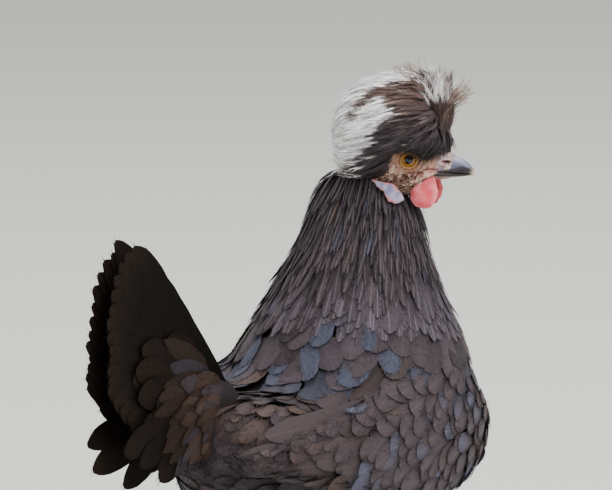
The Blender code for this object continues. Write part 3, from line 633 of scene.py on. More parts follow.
def grid_mesh(name, rings):
    """A closed mesh through rings of equally many points, each end closed by a fan."""
    rings = np.asarray(rings)
    count, sides = rings.shape[:2]
    points = rings_and_ends(rings)
    index = np.arange(count * sides).reshape(count, sides)
    after = np.roll(index, -1, axis=1)
    faces = stacked(index[:-1], after[:-1], after[1:], index[1:]).reshape(-1, 4).tolist()
    low, high = count * sides, count * sides + 1
    faces += [(b, a, low) for a, b in zip(index[0].tolist(), after[0].tolist())]
    faces += [(a, b, high) for a, b in zip(index[-1].tolist(), after[-1].tolist())]
    made = bpy.data.meshes.new(name)
    made.from_pydata(points.tolist(), [], faces)
    bm = bmesh.new()
    bm.from_mesh(made)
    bmesh.ops.recalc_face_normals(bm, faces=bm.faces[:])
    bm.to_mesh(made)
    bm.free()
    made.shade_smooth()
    return made


def rings_and_ends(rings):
    """The points of a closed loft in the order of its mesh."""
    return np.concatenate([rings.reshape(-1, 3), [rings[0].mean(axis=0), rings[-1].mean(axis=0)]])


def points_of(mesh):
    places = np.empty(len(mesh.vertices) * 3)
    mesh.vertices.foreach_get("co", places)
    return places.reshape(-1, 3)


def set_points(mesh, places):
    mesh.vertices.foreach_set("co", np.asarray(places, np.float32).ravel())
    mesh.update()


def alone(piece):
    """Selects one object only, so that an operator acts on nothing else."""
    bpy.ops.object.select_all(action="DESELECT")
    piece.select_set(True)
    bpy.context.view_layer.objects.active = piece


def ball(name, segments, rings, radius=1.0):
    """A ball to shape further, under its name."""
    bpy.ops.object.select_all(action="DESELECT")
    bpy.ops.mesh.primitive_uv_sphere_add(segments=segments, ring_count=rings, radius=radius)
    made = bpy.context.object
    made.name, made.data.name = name, name
    return made


def linked(name, mesh):
    made = bpy.data.objects.new(name, mesh)
    bpy.context.scene.collection.objects.link(made)
    return made


def apply(piece, kind, **settings):
    """Adds one modifier with its settings and applies it."""
    alone(piece)
    added = piece.modifiers.new(kind.lower(), kind)
    for key, value in settings.items():
        setattr(added, key, value)
    bpy.ops.object.modifier_apply(modifier=added.name)


def add_node(tree, kind, inputs=(), out=0, stops=(), **settings):
    """Adds a node with its options, ramp stops, values and links, and gives one of its outputs.

    The inputs are named, or stand in the order of the node's sockets.
    """
    made = tree.nodes.new("ShaderNode" + kind)
    for key, value in settings.items():
        setattr(made, key, value)
    if stops:
        points = made.color_ramp.elements
        while len(points) < len(stops):
            points.new(0.5)
        for point, (where, code) in zip(points, stops):
            point.position = where
            point.color = (*linear(code), 1)
    for key, value in inputs.items() if isinstance(inputs, dict) else enumerate(inputs):
        if isinstance(value, bpy.types.NodeSocket):
            tree.links.new(value, made.inputs[key])
        else:
            made.inputs[key].default_value = value
    return made.outputs[out]


def new_material(name, **sockets):
    """A material with its shader, whose fixed values are set on the shader's own sockets."""
    made = bpy.data.materials.new(name)
    made.use_nodes = True
    shader = made.node_tree.nodes["Principled BSDF"]
    for key, value in sockets.items():
        shader.inputs[key.replace("_", " ")].default_value = value
    return made, made.node_tree, shader


def dress(tree, shader, colour, height, strength, distance):
    """Gives a shader its colour, and a relief whose depth is in metres."""
    bump = add_node(tree, "Bump", {"Height": height, "Strength": strength, "Distance": distance})
    tree.links.new(colour, shader.inputs["Base Color"])
    tree.links.new(bump, shader.inputs["Normal"])


def grained(name, scale, spread, strength, **sockets):
    """A material that shows a piece's own colours, mottled and made rough by one fine grain."""
    made, tree, shader = new_material(name, **sockets)
    colour = add_node(tree, "Attribute", attribute_name="Plumage")
    place_at = add_node(tree, "TexCoord", out="Object")
    grain = add_node(tree, "TexNoise", {"Vector": place_at, "Scale": float(scale), "Detail": 3.0})
    mottle = add_node(tree, "MapRange", (grain, 0.3, 0.7, 1 - spread, 1 + spread))
    tinted = add_node(tree, "VectorMath", (colour, mottle), operation="MULTIPLY")
    dress(tree, shader, tinted, grain, strength, 0.0003)
    return made


def feather_material(name, barb, shaft_width, shaft_light, roughness, comb, streak, veil=0.03, gloss=0.1):
    """Feather keratin, by the spacing of its barbs and the half width of its shaft in millimetres.

    The eye sees a soft dull web, combed and streaked along slanting barbs, and a paler shaft.
    """
    made, tree, shader = new_material(
        name, Roughness=roughness, Sheen_Weight=veil, Sheen_Roughness=0.5, Specular_IOR_Level=gloss
    )
    colour = add_node(tree, "Attribute", attribute_name="Plumage")
    vane = add_node(tree, "UVMap", uv_map="Vane")
    parts = add_node(tree, "SeparateXYZ", [vane]).node.outputs
    across = add_node(tree, "Math", [parts["X"]], operation="ABSOLUTE")
    # Barbs climb 0.9 mm along the feather for each one across, and locks of them lie the same way.
    slant = add_node(tree, "Math", (across, -0.9, parts["Y"]), operation="MULTIPLY_ADD")
    reach = add_node(tree, "Math", (across, 0.16), operation="MULTIPLY")
    lie = add_node(tree, "CombineXYZ", (reach, slant))
    locks = add_node(tree, "TexNoise", {"Vector": lie, "Scale": 1.3, "Detail": 3.0})
    wavy = add_node(tree, "Math", (locks, 1.2, slant), operation="MULTIPLY_ADD")
    turned = add_node(tree, "Math", (wavy, math.tau / barb), operation="MULTIPLY")
    wave = add_node(tree, "Math", [turned], operation="SINE")
    lines = add_node(tree, "MapRange", (wave, -1.0, 1.0, 1 - comb, 1 + comb))
    tufts = add_node(tree, "MapRange", (locks, 0.35, 0.65, 1 - streak, 1 + streak))
    both = add_node(tree, "Math", (lines, tufts), operation="MULTIPLY")
    web = add_node(tree, "VectorMath", (colour, both), operation="MULTIPLY")
    near_shaft = add_node(tree, "MapRange", (across, shaft_width, shaft_width * 0.4, 0.0, shaft_light))
    gain, lift = (2.0, 1.95, 2.05), (0.02, 0.02, 0.022)
    pale = add_node(tree, "VectorMath", (colour, gain, lift), operation="MULTIPLY_ADD")
    dressed = add_node(tree, "Mix", {0: near_shaft, 6: web, 7: pale}, out=2, data_type="RGBA")
    dress(tree, shader, dressed, wave, 0.3, 0.0001)
    return made


DARK_BROWN = linear("#231b1d")
WARM_BROWN = linear("#4a3b36")
MAUVE = linear("#474047")
TAN = linear("#56463e")
DOWN = linear("#2a2224")
WING_BROWN = linear("#433839")
PALE_BLUE = linear("#4a4c5c")
# Grey for the crest's white: at random, and as painted shade between its locks.
CREST_GREY = linear("#b4acb4")
CREST_BROWN = linear("#54403b")
CREST_TAN = linear("#9c8478")
TAIL_BLACK = linear("#0d0a09")
TAIL_BROWN = linear("#231a14")


class HenCoatSettings(bpy.types.PropertyGroup):
    seed: bpy.props.IntProperty(name="Seed", description="Start of the random draws", default=7)
    contour_spacing: bpy.props.FloatProperty(
        name="Body spacing", description="Distance between body feathers", default=0.009, unit="LENGTH"
    )
    hackle_spacing: bpy.props.FloatProperty(
        name="Hackle spacing", description="Distance between neck feathers", default=0.0054, unit="LENGTH"
    )
    body: bpy.props.FloatVectorProperty(
        name="Body", description="Colour of most body feathers", default=linear("#3b3235"), subtype="COLOR"
    )
    accent: bpy.props.FloatVectorProperty(
        name="Accent", description="Colour of blue-grey feathers", default=linear("#383a47"), subtype="COLOR"
    )
    wattle: bpy.props.FloatVectorProperty(
        name="Wattles", description="Colour of the wattles", default=linear("#cf3c4b"), subtype="COLOR"
    )


class HenCrestSettings(bpy.types.PropertyGroup):
    lean: bpy.props.FloatProperty(
        name="Lean", description="Lean of the whorl to the bill", default=math.radians(74), subtype="ANGLE"
    )
    feathers: bpy.props.IntProperty(
        name="Feathers", description="How many long feathers fall from the whorl", default=900
    )
    white: bpy.props.FloatVectorProperty(
        name="White", description="Colour of the crest behind", default=linear("#f4f2f1"), subtype="COLOR"
    )
    dark: bpy.props.FloatVectorProperty(
        name="Dark", description="Colour of the crest in front", default=linear("#382e31"), subtype="COLOR"
    )


class HenStageSettings(bpy.types.PropertyGroup):
    azimuth: bpy.props.FloatProperty(
        name="Azimuth", description="Bearing of the camera", default=math.radians(-55), subtype="ANGLE"
    )
    elevation: bpy.props.FloatProperty(
        name="Elevation", description="Height of the camera", default=math.radians(10), subtype="ANGLE"
    )
    distance: bpy.props.FloatProperty(
        name="Distance", description="From the camera to the eye", default=3.0, unit="LENGTH"
    )


def chosen(group, colour):
    """A colour from the settings."""
    return np.array(getattr(getattr(bpy.context.scene, group), colour))


def eye_bare(x, z):
    """Where the face is bare skin, in the head's frame: 0 under the coat, 1 on the face."""
    rear = np.interp(z, [-23, -13, -11.4, -6.5, 0, 6, 9], [-19, -22, -15.7, -11.6, -12.5, -9, -5])
    top = np.interp(x, [-12, -9, -1, 6, 12, 13.5, 16, 20, 30], [3, 6, 9, 8.5, 6, 2.5, 4, 8, 12])
    return step(x - rear, -0.6, 0.8) * step(top - z, -0.5, 0.8)


def ridge(value, middle, width):
    return np.exp(-(((value - middle) / width) ** 2))


def along_line(x, z, start, end):
    """The share of the way along a line, and the distance off it."""
    run = np.array(end, float) - np.array(start, float)
    length = np.hypot(*run)
    share = ((x - start[0]) * run[0] + (z - start[1]) * run[1]) / length**2
    off = ((x - start[0]) * run[1] - (z - start[1]) * run[0]) / length
    return share, off


def lid_radius(x, z):
    """How far round the eye a place is, in rings flattened above as the brow presses on the lid."""
    return np.hypot(x - LIDS_AHEAD, (z + 0.2) * np.where(z > -0.2, 1.14, 1.04))


def nostril_slot(x, z, length, height):
    """How far off the slanting slot of the nostril a place is: 1 at its edge."""
    ahead = x - NOSTRIL[0]
    return np.hypot(ahead / length, (z - NOSTRIL[1] + 0.1 * ahead) / height)


def cere_creases(points):
    """Where fine creases part the skin between the nostril and the face."""
    return step(0.14 - np.abs(cloud(points + 15, 2.4)), 0, 0.1) * step(points[..., 0], 17, 19)


# Folds of the cheek from the corner of the mouth: start, end, height and width.
FOLDS = (
    ((18.5, -7.4), (11.8, -6.5), -0.9, 0.4), ((11.8, -6.5), (7.6, -8.6), -0.9, 0.4),
    ((7.6, -8.6), (4.2, -12.0), -0.8, 0.45), ((18.0, -9.0), (8.4, -12.6), 0.7, 0.9),
    ((8.4, -12.6), (1.0, -15.5), 0.6, 0.9), ((17.0, -10.6), (9.0, -14.6), -0.8, 0.4),
    ((9.0, -14.6), (2.0, -17.8), -0.7, 0.45), ((15.0, -12.6), (6.0, -17.2), 0.6, 0.8),
    ((12.5, -1.0), (12.0, -5.5), 0.4, 0.8), ((15.0, 1.0), (14.6, -4.5), -0.35, 0.7),
    ((5.5, -7.6), (-3.0, -9.6), -0.4, 0.35),
)


def face_relief(points):
    """How far the face stands out from the skull, in millimetres: lids, folds and pits."""
    x, y, z = points.T
    beside = step(np.abs(y), 3.0, 5.0)
    radius, angle = lid_radius(x, z), np.arctan2(z, x - LIDS_AHEAD)
    grain = cloud(points, 2.2)
    uneven = 0.35 * np.sin(2 * angle + 2) + 0.6 * cloud(points + 5, 3.0)
    relief = -3.4 * step(4.1 + 0.12 * grain - radius, -0.2, 0.5)
    relief += 0.9 * (1 + 0.5 * step(z, -1, 3)) * ridge(radius, 4.9, 0.7)
    relief -= 0.45 * ridge(radius + uneven, 6.5, 0.45)
    uneven = 0.35 * np.sin(3 * angle + 1) + 0.5 * grain
    relief += 0.3 * ridge(radius + uneven, 7.6, 0.6) - 0.2 * ridge(radius + uneven, 8.7, 0.45)
    relief += 0.1 * np.sin(17 * angle + 2 * grain) * step(radius, 5.6, 6.4) * step(10 - radius, 0, 2)
    below = step(-z, 2.0, 5.0) * step(radius, 8.5, 10.0)
    folds = np.sin(math.tau * (radius + 3.4 * cloud(points, 4.0)) / 2.3)
    relief += 0.16 * below * folds * (1 + 0.9 * cloud(points + 40, 3.0))
    pebbles = 1 - 2.4 * np.abs(cloud(points + 60, 1.9))
    relief += (0.34 * below + 0.12) * pebbles * step(radius, 6.5, 8.5)
    relief *= 1 - 0.8 * step(x, 16.5, 20)
    relief += 0.26 * (1 - 2.4 * np.abs(cloud(points + 15, 3.6))) * below
    relief += 0.12 * grain * step(radius, 6.0, 8.0) + 0.1 * cloud(points + 90, 0.9)
    for start, end, height, width in FOLDS:
        share, off = along_line(x, z, start, end)
        off = off + 0.35 * grain
        relief += height * ridge(off, 0, width) * step(share, -0.1, 0.1) * step(1 - share, -0.1, 0.15)
    slot = nostril_slot(x, z, 2.7, 0.85)
    relief += -1.5 * np.exp(-(slot**4)) + 0.45 * ridge(slot, 1.7, 0.45) * step(x, 18, 20)
    cere = step(x, 18, 21) * step(z, -8, -6)
    relief -= 0.25 * cere_creases(points)
    return beside * relief + 0.35 * cere


def face_colours(points, relief):
    """Bare skin: ochre by the eye, beige on the cheek, lilac on the cere, with painted shade in dark
    red-brown in the hollows, the cere's creases and the nostril, and a pale painted highlight on the raised
    rings.
    """
    x, _, z = points.T
    radius = lid_radius(x, z)
    tone = 0.5 + 0.5 * cloud(points + 20, 4.0)
    speck = cloud(points + 70, 1.1)
    cheek = step(-z, 8.0, 14.0) * step(-x, -9.0, 1.0)
    rim = ridge(radius + 0.5 * speck, 6.4, 0.4) * step(cloud(points + 9, 2.0), -0.5, 0.2)
    net = step(0.16 - np.abs(cloud(points + 33, 1.9)), 0, 0.12) * step(radius, 5.8, 7.5) * step(19 - x, 0, 3)
    slot = nostril_slot(x, z, 2.4, 0.75)
    skin = layered(
        linear("#b48b74"),
        ("#94564f", np.clip(tone + 0.5 * step(-z, 4, 12) - 0.25, 0, 1)),
        ("#67413a", 0.75 * cheek * (0.6 + 0.6 * tone)),
        ("#b5746c", 0.65 * step(x, 4, 11) * step(-z, 4, 8)),
        ("#a0868c", step(x, 15, 20) * step(z, -8, -5)),
        ("#b08238", 0.6 * step(8.6 - radius, 0, 3.0)),
        ("#3b2415", 0.75 * rim),
        ("#b58531", 0.7 * ridge(radius, 5.0, 0.5)),
        ("#2a170d", 0.9 * step(4.5 + 0.25 * speck - radius, 0, 0.5)),
        # Painted shade and highlight: dark red-brown where the relief sinks, pale where it rises round the
        # eye.
        ("#5c2e27", 0.8 * step(-relief, 0.0, 0.5) * step(radius, 5.4, 6.0)),
        ("#dcc6b2", 0.6 * step(relief, 0.2, 0.6) * step(radius, 6.5, 8.0)),
        ("#5a3a2e", 0.55 * step(speck, 0.35, 0.6) * step(radius, 7.5, 10.0)),
        ("#5e332c", 0.42 * net * (0.4 + 0.6 * step(-z, -2, 8))),
        # Painted shade: the cere is darkened where its creases cut the relief.
        ("#5b4148", 0.55 * cere_creases(points)),
        ("#7d3f45", 0.7 * ridge(slot, 1.3, 0.5) * step(x, 18, 20)),
        # Painted shade: the shallow pit of the nostril is painted near black, as a deep hole's shade.
        ("#2c0a0c", step(1.15 - slot, 0, 0.35)),
    )
    under = mixed(crest_dark(x, z), chosen("hen_crest", "white"), crest_tone(x, z))
    return mixed(under, skin, eye_bare(x, z))


# Where the crest turns from dark in front to white behind: heights and stations of the head.
WHITE_EDGE = (
    (-15, -47), (-6, -43), (-1, -38), (4, -30), (12, -20), (21, -19), (26, -15), (30, -6), (36, -7),
    (41, -15), (46, -21), (50, -8), (54, 5), (64, 9),
)
# A swathe of brown feathers across the white, as stations and heights.
BROWN_SWATHE = ((-37, 26), (-31, 36), (-21, 44), (-9, 48), (6, 45), (15, 36))


def crest_tone(x, z):
    """How white the crest is at a place seen from the side, in the head's frame: 0 is dark."""
    white = step(profile(WHITE_EDGE, z) - x, -2.5, 2.5)
    off = np.full(np.shape(x), 99.0)
    for start, end in zip(BROWN_SWATHE, BROWN_SWATHE[1:]):
        share, aside = along_line(x, z, start, end)
        off = np.where((share > -0.05) & (share < 1.05), np.minimum(off, np.abs(aside)), off)
    return np.clip(white * (1 - 0.8 * step(4.2 - off, 0.0, 3.0)), 0, 1)


def crest_dark(x, z):
    """The colour of the crest's dark feathers: brown on top, black over the bill and the brow."""
    brown = np.maximum(step(z, 26.0, 42.0), step(x, 16.0, 24.0) * step(z, 16.0, 26.0))
    colour = mixed(chosen("hen_crest", "dark"), CREST_BROWN, 0.85 * brown)
    black = np.exp(-(((x - 11) / 14) ** 2) - ((z - 7) / 7) ** 2)
    return mixed(colour, linear("#110c0e"), 0.9 * black)


class HEN_OT_skin(bpy.types.Operator):
    """One skin over the body, neck, head and thighs, with the face's lids, folds and nostrils"""

    bl_idname = "hen.skin"
    bl_label = "Skin"

    def execute(self, context):
        flesh = merged("skin", body_lofts(TORSO_COAT, NECK_COAT, THIGH_COAT, 6.0))
        rump = ball("rump", 32, 20)
        rump.data.transform(
            Matrix.Translation((-104, 0, 236))
            @ Matrix.Rotation(0.6, 4, "Y")
            @ Matrix.Diagonal((34, 9, 17, 1))
        )
        joined([flesh, rump])
        flesh.data.transform(Matrix.Translation(SHIFT) @ TO_METRES)
        apply(flesh, "REMESH", mode="VOXEL", voxel_size=0.0022)
        apply(flesh, "SMOOTH", factor=0.5, iterations=6)
        skull = linked("skull", self.skull())
        skull.data.transform(HEAD_TO_HEN)
        apply(flesh, "BOOLEAN", operation="UNION", solver="MANIFOLD", object=skull)
        bpy.data.objects.remove(skull)
        self.colour(flesh.data)
        flesh.data.shade_smooth()
        nodes = ("torso", "neck", "head", "thigh_left", "thigh_right")
        place("skin", flesh.data, skin_material(), "bare_skin", *nodes)
        return {"FINISHED"}

    def skull(self):
        """The head with its relief, finer round the face than behind."""
        stations = np.concatenate([np.linspace(-31, -16, 16)[:-1], np.linspace(-16, 29.5, 118)])
        x, round_it = np.meshgrid(stations, turns(160)[0], indexing="ij")
        point, _, _, normal = slopes(head_at, x.ravel(), round_it.ravel())
        normal = np.nan_to_num(normal)
        relief = face_relief(point) * np.maximum(eye_bare(point[:, 0], point[:, 2]), 0)
        point = point + normal * relief[:, None]
        for side in (1, -1):
            knob = np.array((COMB_HORN[0], side * COMB_HORN[1], COMB_HORN[2] + 0.6))
            away = np.linalg.norm((point - knob) / (2.6, 1.6, 2.4), axis=1)
            point[:, 2] += 1.6 * np.exp(-(away**2))
        return grid_mesh("skull", point.reshape(*x.shape, 3))

    def colour(self, mesh):
        """The face's own colours, and dark down wherever feathers cover the skin."""
        back = np.array(HEAD_FRAME.inverted())
        local = (points_of(mesh) @ back[:3, :3].T + back[:3, 3]) / MM
        x, _, z = local.T
        in_head = (np.linalg.norm(local / (34, 20, 26), axis=1) < 1.05) & (z > -26)
        shown = in_head & ((eye_bare(x, z) > 0.02) | (z > -6))
        face = face_colours(local, face_relief(local))
        paint(mesh, np.where(shown[:, None], face, DOWN * 0.7))


class HEN_OT_eyes(bpy.types.Operator):
    """The eyeballs, with the cornea's bulge"""

    bl_idname = "hen.eyes"
    bl_label = "Eyes"

    def execute(self, context):
        finish = eye_material()
        for word, side in SIDES.items():
            eye = ball(f"eyeball_{word}", 64, 48, EYE_RADIUS).data
            places = points_of(eye)
            off, front = np.hypot(places[:, 0], places[:, 1]), places[:, 2] > 0
            places[:, 2] += np.where(front, 0.7 * np.exp(-((off / 3.0) ** 2)), 0)
            set_points(eye, places)
            ring = eye.attributes.new("Ring", "FLOAT", "POINT")
            ring.data.foreach_set("value", np.where(front, off, EYE_RADIUS).astype(np.float32))
            eye.transform(
                HEAD_TO_HEN
                @ Matrix.Translation((0, side * EYE_OUT, 0))
                @ Matrix.Rotation(-side * math.radians(13), 4, "Z")
                @ Matrix.Rotation(-side * math.pi / 2, 4, "X")
            )
            eye.shade_smooth()
            place(eye.name, eye, finish, "eye", f"eye_{word}")
        return {"FINISHED"}


# Colours from the pupil over the iris to the edge, by share of the eyeball's radius.
IRIS = (
    (0.0, "#020202"), (0.47, "#030202"), (0.49, "#3a1d08"), (0.56, "#93590f"), (0.63, "#c98c20"),
    (0.7, "#96601a"), (0.82, "#22120a"),
)


def eye_material():
    """Wet cornea over an amber iris and a black pupil: one sharp highlight, colour deep below."""
    wet = {"Coat_Weight": 1.0, "Coat_Roughness": 0.02, "Coat_IOR": 1.38}
    made, tree, shader = new_material("wet amber eye", Roughness=0.2, Specular_IOR_Level=0.3, **wet)
    ring = add_node(tree, "Attribute", out="Fac", attribute_name="Ring")
    share = add_node(tree, "Math", (ring, EYE_RADIUS), operation="DIVIDE")
    place_at = add_node(tree, "TexCoord", out="Object")
    fibres = add_node(tree, "TexNoise", {"Vector": place_at, "Scale": 2600.0, "Detail": 2.0})
    stirred = add_node(tree, "Math", (fibres, 0.05, share), operation="MULTIPLY_ADD")
    tone = add_node(tree, "ValToRGB", [stirred], stops=IRIS)
    tree.links.new(tone, shader.inputs["Base Color"])
    return made


class HEN_OT_bill(bpy.types.Operator):
    """The horn of both halves of the bill, hooked at the tip"""

    bl_idname = "hen.bill"
    bl_label = "Bill"

    def execute(self, context):
        # Polished keratin: a soft broad highlight over faint growth lines.
        polish = {"Coat_Weight": 0.12, "Coat_Roughness": 0.2}
        finish = grained("bill keratin", 900, 0.15, 0.2, Roughness=0.36, IOR=1.5, **polish)
        for word, rows, hollow in (("upper", BILL_UPPER, 0.54), ("lower", BILL_LOWER, 0.5)):
            table = curve_rows(rows, 90)
            share = np.linspace(0, 1, 90)[:, None] ** 0.85
            angle = turns(72)
            out, up = np.cos(angle), np.sin(angle)
            rise = np.sign(up) * np.abs(up) ** 0.9
            first, last = rows[0][0], rows[-1][0]
            x = first + (last - first) * share
            # The horn's edge moves with its height, so both settle in a few rounds.
            for _ in range(6):
                mouth, crown, half_width = (np.interp(x, table[:, 0], table[:, k]) for k in (1, 2, 3))
                z = mouth + (crown - mouth) * np.maximum(rise, 0) + hollow * np.maximum(-rise, 0)
                if word == "upper":
                    first = np.interp(z, *HORN_EDGE)
                x = first + (last - first) * share
            y = half_width * np.sign(out) * np.abs(out) ** 0.85 * (1 - 0.12 * np.maximum(-rise, 0))
            made = grid_mesh(f"bill_{word}_horn", stacked(np.minimum(x, 24 + 0.92 * (x - 24)), y, z))
            paint(made, self.tone(points_of(made), word == "upper"))
            made.transform(HEAD_TO_HEN)
            place(made.name, made, finish, "bill_horn", f"bill_{word}")
        return {"FINISHED"}

    def tone(self, places, upper):
        x, _, z = places.T
        grain = cloud(places * (0.3, 1, 1), 1.6)
        line = np.interp(x, [19, 28, 34, 41], [-8.2, -6.2, -4.6, -6.8])
        low = step(line - z, -0.9, 0.9) if upper else np.ones(len(x))
        lines = cloud(places * (0.12, 1, 1) + 30, 0.7)
        # Painted highlight: the top of the upper bill toward the tip is lightened as a reflection of the
        # bright surroundings.
        painted_highlight = step(z, -4.5, 1.5) * step(x, 26, 30) * (0.8 + 0.2 * lines)
        behind = x - np.interp(z, *HORN_EDGE)
        return layered(
            linear("#5f6079"),
            ("#1a100e", np.clip(low + 0.2 * grain + 0.12 * lines, 0, 1)),
            ("#b4b8cc", 0.75 * upper * painted_highlight),
            ("#d6c2b0", 0.9 * step(x - 0.55 * z + 0.8 * grain, 42.5, 48.0)),
            ("#9a8377", 0.55 * (not upper) * step(-z, 11.0, 12.5)),
            ("#9c8388", 0.85 * upper * step(1.6 - behind + 0.5 * grain, 0, 1.6)),
        )


class HEN_OT_lappets(bpy.types.Operator):
    """The round wattles under the bill and the lobes below the ears"""

    bl_idname = "hen.lappets"
    bl_label = "Wattles and ear lobes"

    # Half the height of a lobe along it, from its rear end to its front.
    LOBE_WIDTH = ((-1, -0.7, -0.3, 0.05, 0.3, 0.6, 0.85, 1), (1.0, 1.8, 3.0, 4.4, 5.5, 5.8, 4.9, 3.0))

    def execute(self, context):
        # Thin fleshy skin full of blood: warm glow at the rim and a moist, broad highlight.
        glow = {"Subsurface_Weight": 0.25, "Subsurface_Scale": 0.002, "Subsurface_Radius": (1.0, 0.35, 0.25)}
        wet = grained("moist wattle skin", 1400, 0.16, 0.4, Roughness=0.32, IOR=1.4, **glow)
        dry = grained("smooth ear-lobe skin", 1400, 0.1, 0.3, Roughness=0.5, IOR=1.4, **glow)
        for word, side in SIDES.items():
            wattle = ball(f"wattle_{word}_skin", 96, 64).data
            round_points = points_of(wattle)
            x, y, z = round_points.T
            rise, rim, angle = np.clip(z, 0, 1), np.hypot(x, z), np.arctan2(z, x)
            wave = 1 + 0.025 * np.sin(5 * angle + 1) + 0.015 * np.sin(11 * angle)
            cup = 1.9 * side * y * (1 - 0.35 * rim**4) + 0.9 * (1 - rim**2) + 0.3 * cloud(round_points, 0.5)
            along = 9.2 * x * wave * (1 - 0.3 * rise**2) + 4.4 * rise**2
            places = stacked(along, side * cup, 10.2 * z * wave + 2.6 * rise**3)
            veins = step(0.12 - np.abs(cloud(places + 30, 2.6)), 0, 0.12)
            # The veins are the wattle's own; the deeper red toward its top, where it hangs under the bill, is
            # painted shade.
            colour = layered(
                chosen("hen_coat", "wattle"),
                ("#ea8f90", 0.8 * step(rim, 0.85, 1.0)),
                ("#ea7c84", 0.5 + 0.7 * cloud(places, 4.0)),
                ("#a92a34", 0.35 * veins * (1 - 0.5 * rim) + 0.4 * rise**2),
            )
            # The left wattle, on the far side from the camera, is painted darker and redder as shade.
            colour = colour * (0.8, 0.55, 0.55) if side > 0 else colour
            turn = (
                Matrix.Translation((WATTLE_PLACE[0], side * WATTLE_PLACE[1], WATTLE_PLACE[2]))
                @ Matrix.Rotation(side * math.radians(7), 4, "X")
            )
            self.fit(wattle, places, colour, turn)
            place(wattle.name, wattle, wet, "wattle_skin", f"wattle_{word}")

            lobe = ball(f"ear_lobe_{word}_skin", 96, 64).data
            x, y, z = points_of(lobe).T
            wide = np.interp(x, *self.LOBE_WIDTH)
            rim = np.abs(z)
            scallop = (0.5 * np.sin(9 * x) + 0.3 * np.sin(19 * x + 1)) * step(-z, 0.2, 0.8)
            places = stacked(12.4 * x, 1.35 * y, (wide + scallop) * z - 0.35 * wide * step(x, 0.0, 0.5))
            fold = cloud(places * (1, 0, 0.5), 2.4)
            edge = np.maximum(step(rim + 0.25 * fold, 0.5, 0.9), step(-x, 0.5, 1.0))
            # The lobe's own lilac, painted lighter where the folds bulge and darker where they sink, as
            # highlight and shade.
            colour = layered(linear("#6d6c92"), ("#a9a3b8", 0.5 + 0.5 * fold), ("#c9777c", 0.85 * edge))
            places[:, 1] += side * 0.35 * fold * (1 - rim)
            turn = (
                Matrix.Translation((LOBE_PLACE[0], side * (LOBE_PLACE[1] + 0.5), LOBE_PLACE[2] + 1.0))
                @ Matrix.Rotation(math.radians(28), 4, "Y")
                @ Matrix.Rotation(side * math.radians(14), 4, "X")
            )
            self.fit(lobe, places, colour, turn)
            place(lobe.name, lobe, dry, "ear_lobe_skin", f"ear_lobe_{word}")
        return {"FINISHED"}

    def fit(self, mesh, places, colour, turn):
        set_points(mesh, places)
        paint(mesh, colour)
        mesh.transform(HEAD_TO_HEN @ turn)
        mesh.shade_smooth()


def skin_material():
    """Living skin of a bird's face: thin and slightly moist, with pores and fine creases."""
    made, tree, shader = new_material("wrinkled bird skin", Roughness=0.5, IOR=1.4)
    colour = add_node(tree, "Attribute", attribute_name="Plumage")
    place_at = add_node(tree, "TexCoord", out="Object")
    pores = add_node(tree, "TexNoise", {"Vector": place_at, "Scale": 1500.0, "Detail": 3.0})
    cells = {"Vector": place_at, "Scale": 900.0, "Randomness": 1.0}
    creases = add_node(tree, "TexVoronoi", cells, feature="DISTANCE_TO_EDGE")
    mottle = add_node(tree, "MapRange", (pores, 0.3, 0.7, 0.8, 1.2))
    tinted = add_node(tree, "VectorMath", (colour, mottle), operation="MULTIPLY")
    height = add_node(tree, "Math", (creases, pores), operation="ADD")
    dress(tree, shader, tinted, height, 0.5, 0.0003)
    return made


def scutes(along, angle, lanes):
    """Relief and shade of overlapping scales, for lanes of middle, half width and a scale's length."""
    relief, shade = np.full(along.shape, -0.2), np.full(along.shape, 0.5)
    for k, (middle, half, pitch) in enumerate(lanes):
        off = np.arctan2(np.sin(angle - middle), np.cos(angle - middle)) / half
        place_at = along / pitch + 0.5 * (k % 2) + 0.28 * off**2
        share = place_at % 1
        edge = step(1 - share, 0, 0.16) * step(1 - np.abs(off), 0, 0.2)
        own = 0.5 + 0.5 * np.sin(12.9 * np.floor(place_at) + 4.1 * k)
        inside = np.abs(off) < 1
        relief = np.where(inside, 0.5 * (0.3 + 0.7 * share) * edge - 0.2, relief)
        # Painted shade and highlight: darker in the grooves, lighter on each scale's raised lip, with each
        # scale's own random tone.
        shade = np.where(inside, (0.5 + 0.5 * edge) * (0.86 + 0.16 * own + 0.12 * share), shade)
    return relief, shade


